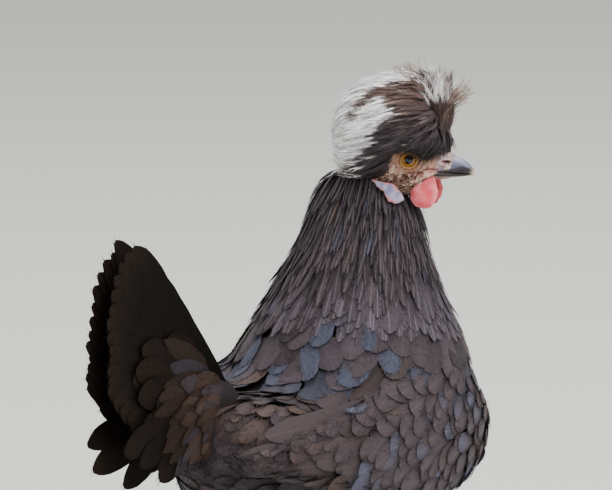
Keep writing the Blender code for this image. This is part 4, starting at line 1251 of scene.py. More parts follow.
class HEN_OT_legs(bpy.types.Operator):
    """The bare legs and toes, with their overlapping scutes, and the claws"""

    bl_idname = "hen.legs"
    bl_label = "Legs"

    # Down the leg: its middle along and up, half across, half along.
    LEG = (
        (-17.5, 94, 2.5, 3.0), (-16.8, 91.5, 5.2, 6.2), (-14.6, 86.5, 6.3, 7.4),
        (-10.6, 78.0, 5.4, 6.2), (-4.6, 64.0, 4.5, 5.0), (4.5, 42.0, 4.2, 4.7), (12.0, 23.0, 4.8, 5.2),
        (15.8, 13.6, 6.9, 7.2), (17.7, 7.5, 8.2, 8.4), (18.2, 3.0, 7.8, 8.2), (18.4, 0.6, 6.4, 6.8),
    )
    # Lanes of scales: middle as an angle, half width as an angle, length of a scale.
    LEG_LANES = (
        (-0.62, 0.62, 5.8), (0.62, 0.62, 5.8), (1.75, 0.52, 3.2), (-1.75, 0.52, 3.2), (2.7, 0.44, 4.2),
        (-2.7, 0.44, 4.2),
    )
    TOE_LANES = ((0, 0.95, 4.6), (1.4, 0.45, 2.6), (-1.4, 0.45, 2.6), (2.3, 0.5, 2.0), (-2.3, 0.5, 2.0))
    # Dark end of the painted shade, in the grooves between scales.
    GROOVE_SHADE = "#22262b"
    # Stations along a claw: share of its length, height of its middle, half its height.
    CLAW = (
        (-0.14, 3.0, 2.0), (0.0, 3.5, 2.25), (0.25, 3.7, 2.0), (0.5, 3.2, 1.6), (0.75, 2.1, 1.1),
        (0.92, 1.0, 0.6), (1.0, 0.5, 0.25),
    )

    def execute(self, context):
        # Dry horny scales: a soft sheen on each plate, and the colour painted darker in the grooves as shade.
        scaly = grained("horny leg scale", 1500, 0.1, 0.3, Roughness=0.46, IOR=1.5)
        # Worn claw keratin: a tight highlight along the curve.
        horn = grained("claw keratin", 1200, 0.12, 0.12, Roughness=0.32, IOR=1.54)
        for word, side in SIDES.items():
            toes = [self.toe(side, *row) for row in TOES.values()]
            claws = [self.claw(side, *row[:2]) for row in TOES.values()]
            leg, nails = joined([self.leg(side), *toes]), joined(claws)
            leg.name, nails.name = f"leg_{word}_scales", f"claws_{word}_horn"
            nodes = (f"shank_{word}", *(f"toe_{word}_{toe}" for toe in TOES))
            place(leg.name, leg.data, scaly, "leg_scales", *nodes)
            place(nails.name, nails.data, horn, "claw_horn", *(f"claw_{word}_{toe}" for toe in TOES))
        return {"FINISHED"}

    def piece(self, rings, shade, one, other):
        """A loft coloured from its shade, between two colours."""
        made = grid_mesh("scales", rings * MM + np.array(SHIFT))
        tone = np.append(shade.ravel(), [shade[0].mean(), shade[-1].mean()])
        colour = mixed(linear(one), linear(other), step(tone, 0.35, 1.1))
        paint(made, colour * (1 + 0.12 * cloud(rings_and_ends(rings), 6.0))[:, None])
        return linked("scales", made)

    def leg(self, side):
        x, z, across, deep = curve_rows(self.LEG, 240).T
        angle = turns(56)
        run = np.concatenate([[0], np.cumsum(np.hypot(np.diff(x), np.diff(z)))])[:, None]
        relief, shade = scutes(run, angle, self.LEG_LANES)
        sole = step(12 - z, 0, 9)[:, None]
        pebble = 1 - 2.4 * np.abs(cloud(stacked(9 * np.cos(angle), 9 * np.sin(angle), run), 1.6))
        relief = relief * (1 - sole) + 0.2 * sole * pebble
        # On the sole the raised pebbles are painted lighter, as a highlight.
        shade = shade * (1 - sole) + (0.7 + 0.2 * pebble) * sole
        fade = np.sin(np.clip(np.linspace(0, 1, 240) * 12, 0, math.pi / 2))[:, None]
        lean = np.radians(np.interp(z, [4, 30, 90], [0, 20, 22]))[:, None]
        ahead = (deep[:, None] + relief * fade) * np.cos(angle)
        beside = (across[:, None] + relief * fade) * np.sin(angle)
        up = np.maximum(z[:, None] + np.sin(lean) * ahead, 0.05)
        rings = stacked(x[:, None] + np.cos(lean) * ahead, side * LEG_OUT + beside, up)
        return self.piece(rings, shade, self.GROOVE_SHADE, "#6c737c")

    def toe(self, side, heading, length, thick, thin, dozens):
        share = np.linspace(0, 1, 12 * dozens + 30)[:, None]
        angle = turns(40)
        radius = thick + (thin - thick) * share
        knuckle = 0.35 * np.cos(math.tau * share * max(round(length / 15), 2)) * step(share, 0.1, 0.2)
        relief, shade = scutes(share * length, angle, self.TOE_LANES)
        end = np.sqrt(np.clip((1 - share) * length / 2.5, 0, 1))
        size = (radius + knuckle + 0.7 * relief) * (0.35 + 0.65 * end)
        up = np.maximum(radius * 0.92 + (size + 0.35) * np.cos(angle), 0.05)
        rings = self.turned(side, heading, share * length, size * np.sin(angle), up)
        return self.piece(rings, shade, self.GROOVE_SHADE, "#70777f")

    def claw(self, side, heading, length):
        share, height, half = curve_rows(self.CLAW, 40).T[:, :, None]
        angle = turns(24)
        along = length + share * CLAW_LENGTH
        up = np.maximum(height + half * np.cos(angle), 0.05)
        rings = self.turned(side, heading, along, 0.78 * half * np.sin(angle), up)
        shade = np.broadcast_to(1.1 - 0.8 * share, up.shape)
        return self.piece(rings, shade, "#3b3231", "#a0938a")

    def turned(self, side, heading, along, across, up):
        turn = math.radians(heading) * side
        x = PAD.x + along * math.cos(turn) - across * math.sin(turn)
        y = side * LEG_OUT + along * math.sin(turn) + across * math.cos(turn)
        return stacked(x, y, up)


def brick_roots(first, last, rows, round_count, draw):
    """Staggered roots over a surface: its rows, and how many go round at each row."""
    u, v = [], []
    for k, place_at in enumerate(np.linspace(first, last, rows)):
        count = max(int(round_count(place_at)), 3)
        spots = (np.arange(count) + 0.5 * (k % 2) + draw.uniform(-0.28, 0.28, count)) / count
        u.append(place_at + draw.uniform(-0.3, 0.3, count) * abs(last - first) / rows)
        v.append(math.tau * spots)
    return np.concatenate(u), np.concatenate(v)


def shaded(colour, steps, root=0.55, tip=1.0):
    """Spreads one colour for each feather along it, darker at its root."""
    share = step(np.linspace(0, 1, steps), 0.0, 0.8)[None, :, None]
    return colour[:, None] * (root + (tip - root) * share)


def raised(path, normal, low, high, power=0.6):
    """Lifts paths off their surface, from low at the root to high at the tip."""
    share = np.linspace(0, 1, path.shape[1])[None] ** power
    lift = np.asarray(low)[..., None] + (np.asarray(high) - np.asarray(low))[..., None] * share
    return path + normal * np.broadcast_to(lift, path.shape[:2])[..., None]


def round_patch(points):
    """Where roots lie on an unwrap of the whole body, turned about its long axis."""
    about = np.arctan2(points[:, 1], points[:, 2] - 180) / math.tau + 0.5
    along = (points[:, 0] + 150) / 320
    high = (points[:, 2] > 262) * 0.5
    along = np.where(high > 0, (points[:, 2] - 250) / 260, along * 0.5 + 0.49)
    return stacked(0.02 + 0.95 * about, 0.01 + 0.97 * along)


def body_colour(points, draw, blue=0.06, warm=0.2):
    """Slate brown, lighter and warmer in patches, with single blue-grey feathers."""
    count = len(points)
    tone = 0.5 + 0.5 * cloud(points, 28.0)
    colour = mixed(chosen("hen_coat", "body"), MAUVE, 0.6 * tone)
    colour = mixed(colour, DARK_BROWN, 0.5 * (draw.random(count) < 0.25))
    colour = mixed(colour, WARM_BROWN, 0.8 * (draw.random(count) < warm) * draw.random(count))
    colour = mixed(colour, chosen("hen_coat", "accent"), 0.85 * (draw.random(count) < blue))
    return colour * draw.uniform(0.85, 1.15, (count, 1))


def mantle_and_saddle(x, z):
    """How far places lie on the mantle and on the saddle: 0 off it, 1 on it."""
    mantle = step(z, 224, 240) * step(x, -45, -15) * step(105 - x, 0, 20)
    return mantle, step(z, 205, 225) * step(-x, 25, 50)


def over_wing(points):
    """How far inside the outline of a folded wing points are, in millimetres."""
    x, y, z = points.T
    sizes = read_rows(WING_ROWS, x)
    inside = np.minimum(np.minimum(sizes[4] - z, z - sizes[5]), 100 - x)
    return np.where((np.abs(y) > 0.55 * sizes[1]) & (x > -138), inside, -50.0)


def cape_edge(points):
    """How low the cape of hackles reaches, round the neck."""
    return np.interp(points[:, 0], [-40, 40, 90, 130], [274, 262, 253, 246])


def body_flow(points):
    """The way feathers lie: down the breast and shoulders, and back along the body."""
    x, y, z = points.T
    ahead = step(x, 60, 118)
    mantle = step(z, 226, 258) * step(x, -30, 20)
    back = -(1.1 - 1.0 * ahead - 0.5 * mantle)
    down = -0.3 - 0.8 * ahead - 0.5 * mantle
    aside = 0.35 * np.sign(y) * step(np.abs(y), 2, 25) * step(z, 215, 240)
    return stacked(back, aside, down)


# Middle of each large feather, its length, half width, turn in degrees, and how light it is.
ACCENTS = (
    (-10.8, -16.6, 269.9, 40, 9.5, 0, 0.2), (-14.3, -41.4, 248.8, 46, 11.5, -4, 0.3),
    (-23.7, -15.3, 251.6, 46, 11.0, 30, 0.3), (-24.7, 4.8, 252.3, 42, 10.0, 24, 0.4),
    (-21.0, 37.3, 243.6, 42, 10.5, 20, 0.6), (-17.0, 34.8, 250.5, 38, 9.5, 10, 0.2),
    (8.1, -58.6, 254.3, 40, 10.0, 0, 0.2), (-46.3, -48.1, 226.3, 44, 11.5, -10, 0.0),
    (17.4, -85.0, 206.7, 30, 6.5, 60, 0.9), (24.8, -86.0, 185.2, 32, 7.0, 60, 1.0),
    (4.1, -44.2, 267.7, 38, 9.5, 0, 0.0),
)


class HEN_OT_body_feathers(bpy.types.Operator):
    """Contour feathers over the breast, mantle, back, belly and thighs"""

    bl_idname = "hen.body_feathers"
    bl_label = "Body feathers"

    def execute(self, context):
        settings = context.scene.hen_coat
        draw = np.random.default_rng(settings.seed)
        finish = feather_material("matt contour feather", 0.8, 0.26, 0.35, 0.6, 0.1, 0.26)
        spacing = settings.contour_spacing / MM

        def apart(points):
            x, _, z = points.T
            small = step(x, 70, 110) + step(150 - z, 0, 20) * (x > -40)
            mantle, saddle = mantle_and_saddle(x, z)
            gap = spacing * (1.1 - 0.32 * np.clip(small, 0, 1) + 0.25 * mantle - 0.3 * saddle)
            under_cape = z - cape_edge(points) > 24
            hidden = under_cape | (over_wing(points) > 9 + 9 * step(z, 205, 215)) | (z < 88)
            return np.where(hidden, -1, gap)

        self.cover(form().sites(apart, draw), draw, finish)
        return {"FINISHED"}

    def cover(self, root, draw, finish):
        count = len(root)
        _, out = form().nearest(root)
        x, y, z = root.T
        mantle, saddle = mantle_and_saddle(x, z)
        under = step(-out[:, 2], 0.2, 0.7)
        leg = step(165 - z, 0, 15) * step(140 - z, 0, 20) * (np.abs(y) > 15)
        breast = step(x, 60, 110)
        hock = leg * step(118 - z, 0, 22)
        length = 25 + 15 * mantle + 12 * saddle + 7 * under - 3 * breast - 7 * leg - 3 * hock
        length = length + draw.uniform(-3, 3, count)
        half = 7.2 + 3.3 * mantle - 2.2 * saddle + 0.4 * under - 0.8 * breast - 2.0 * leg - 1.6 * hock
        half = half + draw.uniform(-0.8, 0.8, count)
        stray = draw.normal(0, 0.17, count) * (1 + 0.6 * mantle)
        path, normal = form().lay(root, body_flow, length, 10, stray)
        lift = draw.uniform(-0.6, 0.9, count) * (1 - 0.6 * np.maximum(breast, mantle))
        lift = lift + 0.3 * saddle + 0.4 * leg
        sunk = np.minimum(6.0, 0.25 * length) * (1 - 0.45 * breast - 0.35 * mantle)
        path = raised(path, normal, -sunk, lift)
        colour = body_colour(path[:, -1], draw, 0.05, 0.2)
        blue = draw.random(count) < 0.45 * mantle * step(255 - z, -12, 4)
        cool = chosen("hen_coat", "accent") * draw.uniform(0.75, 1.15, (count, 1))
        colour = mixed(colour, cool, 0.8 * blue)
        tan = 0.6 * draw.random(count) * (draw.random(count) < 0.7 * saddle + 0.1 * breast)
        colour = mixed(mixed(colour, TAN, tan), DOWN, 0.5 * under)
        patch = round_patch(root)
        soft = saddle + under + leg > 0.5
        for name, keep, fringe, shape in (
            ("contour_feathers", ~soft, (28, 4.2, 0.11), ROUND),
            ("loose_feathers", soft, (28, 8.0, 0.11), PLUME),
        ):
            coat = Coat()
            tint = shaded(colour[keep], 10, 0.62, 1.05)
            coat.add(
                path[keep], normal[keep], half[keep], tint, patch[keep], shape,
                seed=5, edge=0.97, thick=0.2, camber=0.08, fringe=fringe,
            )
            if shape is ROUND:
                self.accents(coat, draw)
            place_coat(name, coat, finish, "body_feathers")

    def accents(self, coat, draw):
        """The single large blue-grey feathers that stand out on the mantle and the right shoulder."""
        x, y, z, length, half, aside, light = np.array(ACCENTS, float).T
        middle, stray = stacked(x, y, z), np.radians(aside)
        _, normal = form().nearest(middle)
        flow = body_flow(middle)
        flow = unit(flow - normal * dot(flow, normal))
        turn = stray[:, None]
        flow = flow * np.cos(turn) + np.cross(normal, flow) * np.sin(turn)
        root = middle - flow * (0.66 * length)[:, None]
        path, normal = form().lay(root, body_flow, length, 12, stray)
        path = raised(path, normal, np.full(len(x), -5.0), 0.2 + 0.5 * draw.random(len(x)))
        colour = mixed(chosen("hen_coat", "accent"), PALE_BLUE, light)
        coat.add(
            path, normal, half, shaded(colour, 12, 0.7, 1.05), round_patch(root), ROUND,
            seed=6, edge=1.08, fringe=(30, 3.4, 0.11),
        )


class HEN_OT_hackles(bpy.types.Operator):
    """The cape of narrow pointed hackles down the neck"""

    bl_idname = "hen.hackles"
    bl_label = "Hackles"

    def execute(self, context):
        settings = context.scene.hen_coat
        draw = np.random.default_rng(settings.seed + 1)
        finish = feather_material("satin hackle", 0.7, 0.36, 0.8, 0.5, 0.14, 0.34)
        heights = [290, 305, 325, 345, 368]
        # Height of the first and last row, how many, how far apart they stand in a row, and outline.
        for name, high, low, rows, beside, shape in (
            ("hackles_upper", 367, 332, 8, 0.42, LANCE),
            ("hackles_lower", 329, 294, 5, 0.85, HACKLE),
        ):
            tight = settings.hackle_spacing * beside / MM

            def around(height):
                return math.tau * np.interp(height, [290, 313, 345, 368], [50, 43, 29, 15]) / tight

            u, v = brick_roots(high, low, rows, around, draw)
            count = len(u)
            u = u + draw.uniform(-5.5, 5.5, count)
            root, _ = neck_at(u, v)
            low_tip = cape_edge(root) + draw.normal(0, 5, count)
            length = np.minimum(np.interp(u, heights, [50, 54, 48, 40, 27]), (u - low_tip) * 1.15)
            length = np.maximum(length, 14) * draw.uniform(0.8, 1.08, count)
            half = np.interp(u, heights, [7.0, 6.2, 3.3, 1.8, 1.3]) * draw.uniform(0.75, 1.15, count)
            path, normal = form().lay(root, (-0.3, 0, -1), length, 12, draw.normal(0, 0.07, count))
            loose = draw.uniform(-0.9, 0.9, count) + np.where(draw.random(count) < 0.06, 1.6, 0)
            path = raised(path, normal, np.full(count, -5.5), loose, 0.75)
            colour = body_colour(path[:, -1], draw, 0.04, 0.12)
            # Some lower hackles are tinted lilac as a painted sheen.
            colour = mixed(colour, linear("#504953"), 0.55 * step(332 - u, 0, 22) * draw.random(count))
            colour = colour * np.interp(u, heights, [1.1, 1.0, 0.85, 0.75, 0.68])[:, None]
            coat = Coat()
            coat.add(
                path, normal, half, shaded(colour, 12, 0.75, 1.05), round_patch(root), shape,
                seed=23, section=NARROW, teeth=0.25, edge=0.9, camber=0.16, roll=0.1, thick=0.22,
                fringe=(12, 4.6, 0.11),
            )
            place_coat(name, coat, finish, "hackle_feathers")
        return {"FINISHED"}


class HEN_OT_face_feathers(bpy.types.Operator):
    """Bristles on the cheeks, and the short dark feathers behind and below the face"""

    bl_idname = "hen.face_feathers"
    bl_label = "Face feathers"

    # Count, stations, heights, length, half width, and how far the tip stands off.
    KINDS = (
        (1100, (-23, 5), (-23, -8), (3.0, 6.0), 0.17, 1.1),
        (420, (-3, 13), (-17, -4), (1.6, 3.4), 0.13, 0.8),
        (420, (-31, -8), (-24, 4), (6.0, 10.0), 0.8, 0.8),
        (130, (6, 17), (0, 8), (2.4, 4.2), 0.2, 0.8),
    )

    def execute(self, context):
        draw = np.random.default_rng(context.scene.hen_coat.seed + 5)
        finish = feather_material("fine face feather", 0.7, 0.12, 0.1, 0.55, 0.05, 0.15)
        coat = Coat()
        for kind, (count, stations, heights, length, half, stand) in enumerate(self.KINDS):
            x = draw.uniform(*stations, 6 * count)
            angle = draw.uniform(0, math.tau, 6 * count)
            point, _, _, normal = slopes(head_at, x, angle)
            z = point[:, 2]
            bare = eye_bare(x, z) > 0.5
            near_eye = np.hypot(x - LIDS_AHEAD, z) < 8.2
            shown = (z > heights[0]) & (z < heights[1]) & (bare != (kind == 2)) & ~near_eye
            point, normal = point[shown][:count], normal[shown][:count]
            count, steps = len(point), 6
            size = draw.uniform(*length, count)[:, None, None] * np.linspace(0, 1, steps)[None, :, None]
            way = np.array((-1.0, 0, -0.35)) + draw.normal(0, 0.3, (count, 3))
            way = unit(way - normal * dot(way, normal))
            rise = stand * np.linspace(-0.3, 1, steps)[None, :, None] - size**2 / 40
            path = point[:, None] + way[:, None] * size + normal[:, None] * rise
            dark = mixed(linear("#1c1212"), linear("#4b332a"), draw.random(count))
            pale = draw.random(count) < (0.0 if kind == 2 else 0.3)
            colour = mixed(dark, linear("#b79c84"), pale)
            angle = angle[shown][:count]
            patch = stacked(0.02 + 0.95 * angle / math.tau, 0.05 + 0.9 * (point[:, 0] + 31) / 61)
            normal = np.broadcast_to(normal[:, None] @ HEAD_SPIN.T, path.shape)
            looks = {"fringe": (5, 2.4, 0.1)} if kind == 2 else {}
            wide = half * draw.uniform(0.7, 1.3, count)
            shape = LANCE if kind == 2 else WISP
            coat.add(
                to_hen(path), normal, wide, shaded(colour, steps, 0.8, 1.1), patch, shape,
                seed=140 + kind, section=NARROW, teeth=0.1, thick=min(half, 0.2), sweep=0.6, **looks,
            )
        place_coat("face_feathers", coat, finish, "body_feathers")
        return {"FINISHED"}


# How low the crest hangs: stations of the head, and heights there.
CREST_HEM = (
    (-46, -36, -30, -22, -16, -13, -11, 0, 8, 12, 16, 20, 25),
    (-8, -15, -18.5, -16, -10, -1, 7, 10.5, 8.5, 2, 3.5, 6, 7),
)


class HEN_OT_crest(bpy.types.Operator):
    """The crest: a globe of long feathers that fall away from a whorl over the bill"""

    bl_idname = "hen.crest"
    bl_label = "Crest"

    def execute(self, context):
        settings = context.scene.hen_crest
        finish = feather_material("soft crest feather", 0.7, 0.16, 0.12, 0.62, 0.12, 0.26, 0.05, 0.2)
        draw = np.random.default_rng(41)
        for name, share, half, fringe in (
            ("crest_down", 0.84, (3.2, 4.4), 2),
            ("crest_under", 0.93, (2.0, 3.0), 6),
            ("crest_over", 1.0, (0.9, 1.9), 11),
        ):
            coat = Coat()
            over = share == 1.0
            self.fall(coat, int(settings.feathers * (2.3 if over else 1)), share, half, fringe, draw)
            if over:
                self.quiff(coat, draw)
            place_coat(name, coat, finish, "crest_feathers", *(("crest",) if over else ()))
        return {"FINISHED"}

    def fall(self, coat, count, share, half, fringe, draw):
        steps = 13
        start = np.radians(2 + 120 * draw.random(count) ** 0.72)
        round_it = draw.uniform(0, math.tau, count)
        end = start + np.radians(draw.uniform(40, 80, count))
        # Feathers hang in locks, and some stray off the globe.
        seat = crest_at(start + 0.5, round_it)
        lock = cloud(seat * (0.6, 1.0, 1.0), 9.0)
        reach = share * (draw.uniform(0.975, 1.01, count) + 0.03 * lock)
        stray = 0.07 * draw.random(count) * (draw.random(count) < 0.14)
        swirl = draw.uniform(-0.16, 0.16, count)[:, None]
        slack = draw.uniform(-2.0, 1.2, count)[:, None]
        part = np.linspace(0, 1, steps)[None]

        def laid(end):
            polar = start[:, None] + (end - start)[:, None] * part**1.1
            out = 0.5 + (reach[:, None] - 0.5) * (1 - (1 - part) ** 2.3) + (0.02 + stray[:, None]) * part**4
            return crest_at(polar, round_it[:, None] + swirl * part, out)

        for _ in range(30):
            path = laid(end)
            low = (path[..., 2] < np.interp(path[..., 0], *CREST_HEM) + slack)[:, 4:].any(axis=1)
            end = np.where(low, end - math.radians(2.5), end)
        keep = (end - start > math.radians(14)) & ~low
        path, round_it, start, lock = path[keep], round_it[keep], start[keep], lock[keep]
        # Below the ear the ends hang straight down instead of closing under the head.
        wide = np.maximum.accumulate(np.abs(path[..., 1]), axis=1) * np.sign(path[..., 1])
        path[..., 1] += (wide - path[..., 1]) * step(9 - path[..., 2], 0, 9)
        hang = step(-path[..., 0], 11, 19) * step(8 - path[..., 2], 0, 14)
        path[..., 2] -= hang * draw.uniform(2.0, 8.5, (len(path), 1)) * part**2
        normal = unit(path - CREST_MIDDLE)
        patch = stacked(0.02 + 0.96 * (round_it / math.tau), 0.02 + 0.9 * start / math.pi)
        # The white of the sunken locks is greyed as painted shade between the proud ones.
        coat.add(
            to_hen(path), normal @ HEAD_SPIN.T, draw.uniform(*half, len(path)),
            self.colour(path, draw, step(-lock, -0.1, 0.5)), patch, LANCE,
            seed=60 + fringe, section=NARROW, teeth=0.3, thick=0.18, sweep=1.3, roll=0.05, camber=0.12,
            fringe=(fringe, 5.0, 0.14),
        )

    def quiff(self, coat, draw):
        """Feathers that stand up over the bill, and the wisps that stray from them."""
        steps = 11
        # How many, lean back to front, length, half width, shape, root station, root height.
        for count, lean, length, half, shape, station, height in (
            (330, (-42, 8), (17, 24.5), (0.7, 1.6), LANCE, (12, 22), (24, 34)),
            (110, (-6, 24), (12, 19), (0.6, 1.2), LANCE, (15, 22), (18, 30)),
            (110, (-6, 14), (10, 16), (0.6, 1.2), LANCE, (19, 23), (14, 27)),
            (26, (-52, -24), (16, 25), (0.3, 0.6), WISP, (5, 14), (40, 46)),
            (22, (30, 74), (10, 19), (0.3, 0.6), WISP, (20, 25), (29, 38)),
        ):
            spans = (station, (-12, 12), height)
            root = stacked(*(draw.uniform(*span, count) for span in spans))
            tilt = np.radians(draw.uniform(*lean, count))
            aside = draw.uniform(-0.2, 0.2, count) + root[:, 1] * 0.03
            way = unit(stacked(np.sin(tilt), aside, np.cos(tilt)))
            part = np.linspace(0, 1, steps)[None, :, None]
            size = draw.uniform(*length, count)[:, None, None]
            path = root[:, None] + way[:, None] * size * part
            bend = draw.uniform(-0.9, 0.7, (count, 1, 1)) * np.sign(draw.uniform(-1, 1, (count, 1, 1)))
            path = path + np.array((0.14, 0, -0.05)) * size * part**2.5 * bend
            facing = stacked(0.5 * np.sin(2 * tilt) - 0.2, np.sign(root[:, 1]), 0.0)
            facing = unit(facing - way * dot(facing, way))
            normal = np.broadcast_to(facing[:, None], path.shape)
            patch = stacked(0.05 + draw.random(count) * 0.1, 0.94 + draw.random(count) * 0.03)
            x, _, z = np.moveaxis(path, -1, 0)
            streaks = 0.8 * step(x, 4.0, 9.0) * step(z, 33.0, 41.0) * step(27.0 - x, -1.0, 3.0)
            colour = self.colour(path, draw, draw.random(count) ** 2, streaks)
            if shape is WISP:
                colour = mixed(colour, CREST_TAN, step(part[..., 0], 0.2, 0.9) * np.ones((count, 1)))
            coat.add(
                to_hen(path), normal @ HEAD_SPIN.T, draw.uniform(*half, count), colour, patch, shape,
                seed=81, section=NARROW, teeth=0.35, thick=0.18, sweep=1.2, roll=0.3, camber=0.1,
                fringe=(12, 3.6, 0.12),
            )

    def colour(self, path, draw, grey, streaks=0.0):
        """White or dark by where the feather lies, with a greyer root and stray streaks; the grey share greys
        the white, at random in the quiff and as painted shade between the locks in the fall.
        """
        count, steps = path.shape[:2]
        x, _, z = np.moveaxis(path, -1, 0)
        share = np.linspace(0, 1, steps)[None]
        shift = draw.normal(0, 2.4, (count, 1))
        white = np.maximum(crest_tone(x + shift, z + 0.7 * shift), streaks)
        white = step(white + draw.normal(0, 0.14, (count, 1)), 0.28, 0.72)
        white = white * step(share, -0.2, 0.15)
        stray = draw.random((count, 1)) < 0.04
        white = np.where(stray, 0.35 * white, white)
        white = white * (1 - np.sign(streaks) * (draw.random((count, 1)) < 0.42))
        hem = (draw.random((count, 1)) < 0.7) * step(-x, 13, 18) * step(5 - z, 0, 5)
        white = np.maximum(white, hem * step(share, 0.78, 0.95))
        own = crest_dark(x, z) * draw.uniform(0.82, 1.18, (count, 1, 1))
        tipped = (draw.random((count, 1)) < 0.3) * step(z, 20, 34) * step(share, 0.7, 1.0)
        own = mixed(own, CREST_TAN, 0.6 * tipped)
        # The random grey is the feathers' own; the grey share from the fall's locks is painted shade.
        pale = mixed(chosen("hen_crest", "white"), CREST_GREY, 0.3 * draw.random(count) ** 2 + 0.4 * grey)
        return mixed(own, np.broadcast_to(pale[:, None], own.shape), white)


class HEN_OT_wings(bpy.types.Operator):
    """The folded wings: flight feathers, greater coverts and the small coverts before them"""

    bl_idname = "hen.wings"
    bl_label = "Wings"

    # Count, first and last root and tip as station and height, half width, and the lift of
    # the root and of the tip off the sheet of the wing.
    TIERS = (
        (8, (-40, 214), (-38, 190), (-139, 210), (-112, 196), 6.5, (-8, -4.0)),
        (12, (30, 231), (44, 168), (-116, 221), (-22, 163), 9.0, (-8, -2.6)),
        (13, (58, 233), (66, 172), (-22, 233), (2, 163), 8.0, (-7, -1.6)),
    )

    def execute(self, context):
        finish = feather_material("folded flight feather", 0.9, 0.34, 0.35, 0.52, 0.07, 0.12)
        for word, side in SIDES.items():
            draw = np.random.default_rng(70 + side)
            coat = Coat()
            for tier in range(len(self.TIERS)):
                self.flight(coat, tier, side, draw)
            self.coverts(coat, side, draw)
            place_coat(f"wing_{word}_feathers", coat, finish, "wing_feathers", f"wing_{word}")
        return {"FINISHED"}

    def flight(self, coat, tier, side, draw):
        steps = 17
        count, *ends, half, (low, high) = self.TIERS[tier]
        part = np.linspace(0, 1, steps)[None, :, None]
        share = np.linspace(0, 1, count)[:, None]
        root_1, root_2, tip_1, tip_2 = (np.array(end, float) for end in ends)
        root = root_1 + (root_2 - root_1) * share + draw.uniform(-1.5, 1.5, (count, 2))
        tip = tip_1 + (tip_2 - tip_1) * share + draw.uniform(-1, 1, (count, 2)) * (2.5 + 2 * tier, 2)
        way = root[:, None] + (tip - root)[:, None] * part
        point, _, _, normal = slopes(lambda a, b: wing_at(a, b, side), way[..., 0], way[..., 1])
        lift = low + (high - low) * (1 - (1 - part[..., 0]) ** 3)
        path = point + normal * (lift + draw.uniform(-0.3, 0.3, (count, 1)))[..., None]
        tint = self.tint(path, draw, 0.0)
        coat.add(
            path, normal, half * draw.uniform(0.92, 1.08, count), tint, self.patch(root), PLUME,
            seed=90 + tier, teeth=0.06, roll=0.03 * side, camber=0.08, thick=0.35, fringe=(24, 2.4, 0.11),
        )

    def coverts(self, coat, side, draw):
        def apart(points):
            inside = over_wing(points)
            shown = (inside > -3) & (points[:, 0] > -28) & (points[:, 1] * side > 0)
            return np.where(shown, np.interp(points[:, 0], [0, 100], [9.0, 7.0]), -1)

        root = form().sites(apart, draw)
        count = len(root)
        length = np.interp(root[:, 0], [0, 60, 100], [32, 25, 19]) + draw.uniform(-4, 4, count)
        half = np.interp(root[:, 0], [0, 60, 100], [8.0, 7.0, 5.6]) * draw.uniform(0.88, 1.12, count)
        path, normal = form().lay(root, (-1, 0, -0.22), length, 10, draw.normal(0, 0.16, count))
        path = raised(path, normal, np.full(count, -2.8), draw.uniform(0.7, 1.8, count))
        tint = self.tint(path, draw, 0.16)
        coat.add(
            path, normal, half, tint, self.patch(root[:, ::2]), ROUND,
            seed=97, teeth=0.06, roll=0.02 * side, camber=0.1, edge=0.95, fringe=(26, 5.0, 0.11),
        )

    def tint(self, path, draw, blue):
        count, steps = path.shape[:2]
        tone = 0.5 + 0.5 * cloud(path[:, -1], 30.0)
        colour = mixed(WING_BROWN, MAUVE, 0.5 * tone) * draw.uniform(0.9, 1.1, (count, 1))
        cool = (draw.random((count, 1)) < blue) * step(np.linspace(0, 1, steps)[None], 0.1, 0.9)
        return mixed(shaded(colour, steps, 0.7, 1.0), PALE_BLUE, draw.uniform(0.4, 0.9, (count, 1)) * cool)

    def patch(self, root):
        return stacked((root[:, 0] + 50) / 160 * 0.9 + 0.04, (root[:, 1] - 150) / 100 * 0.9 + 0.04)


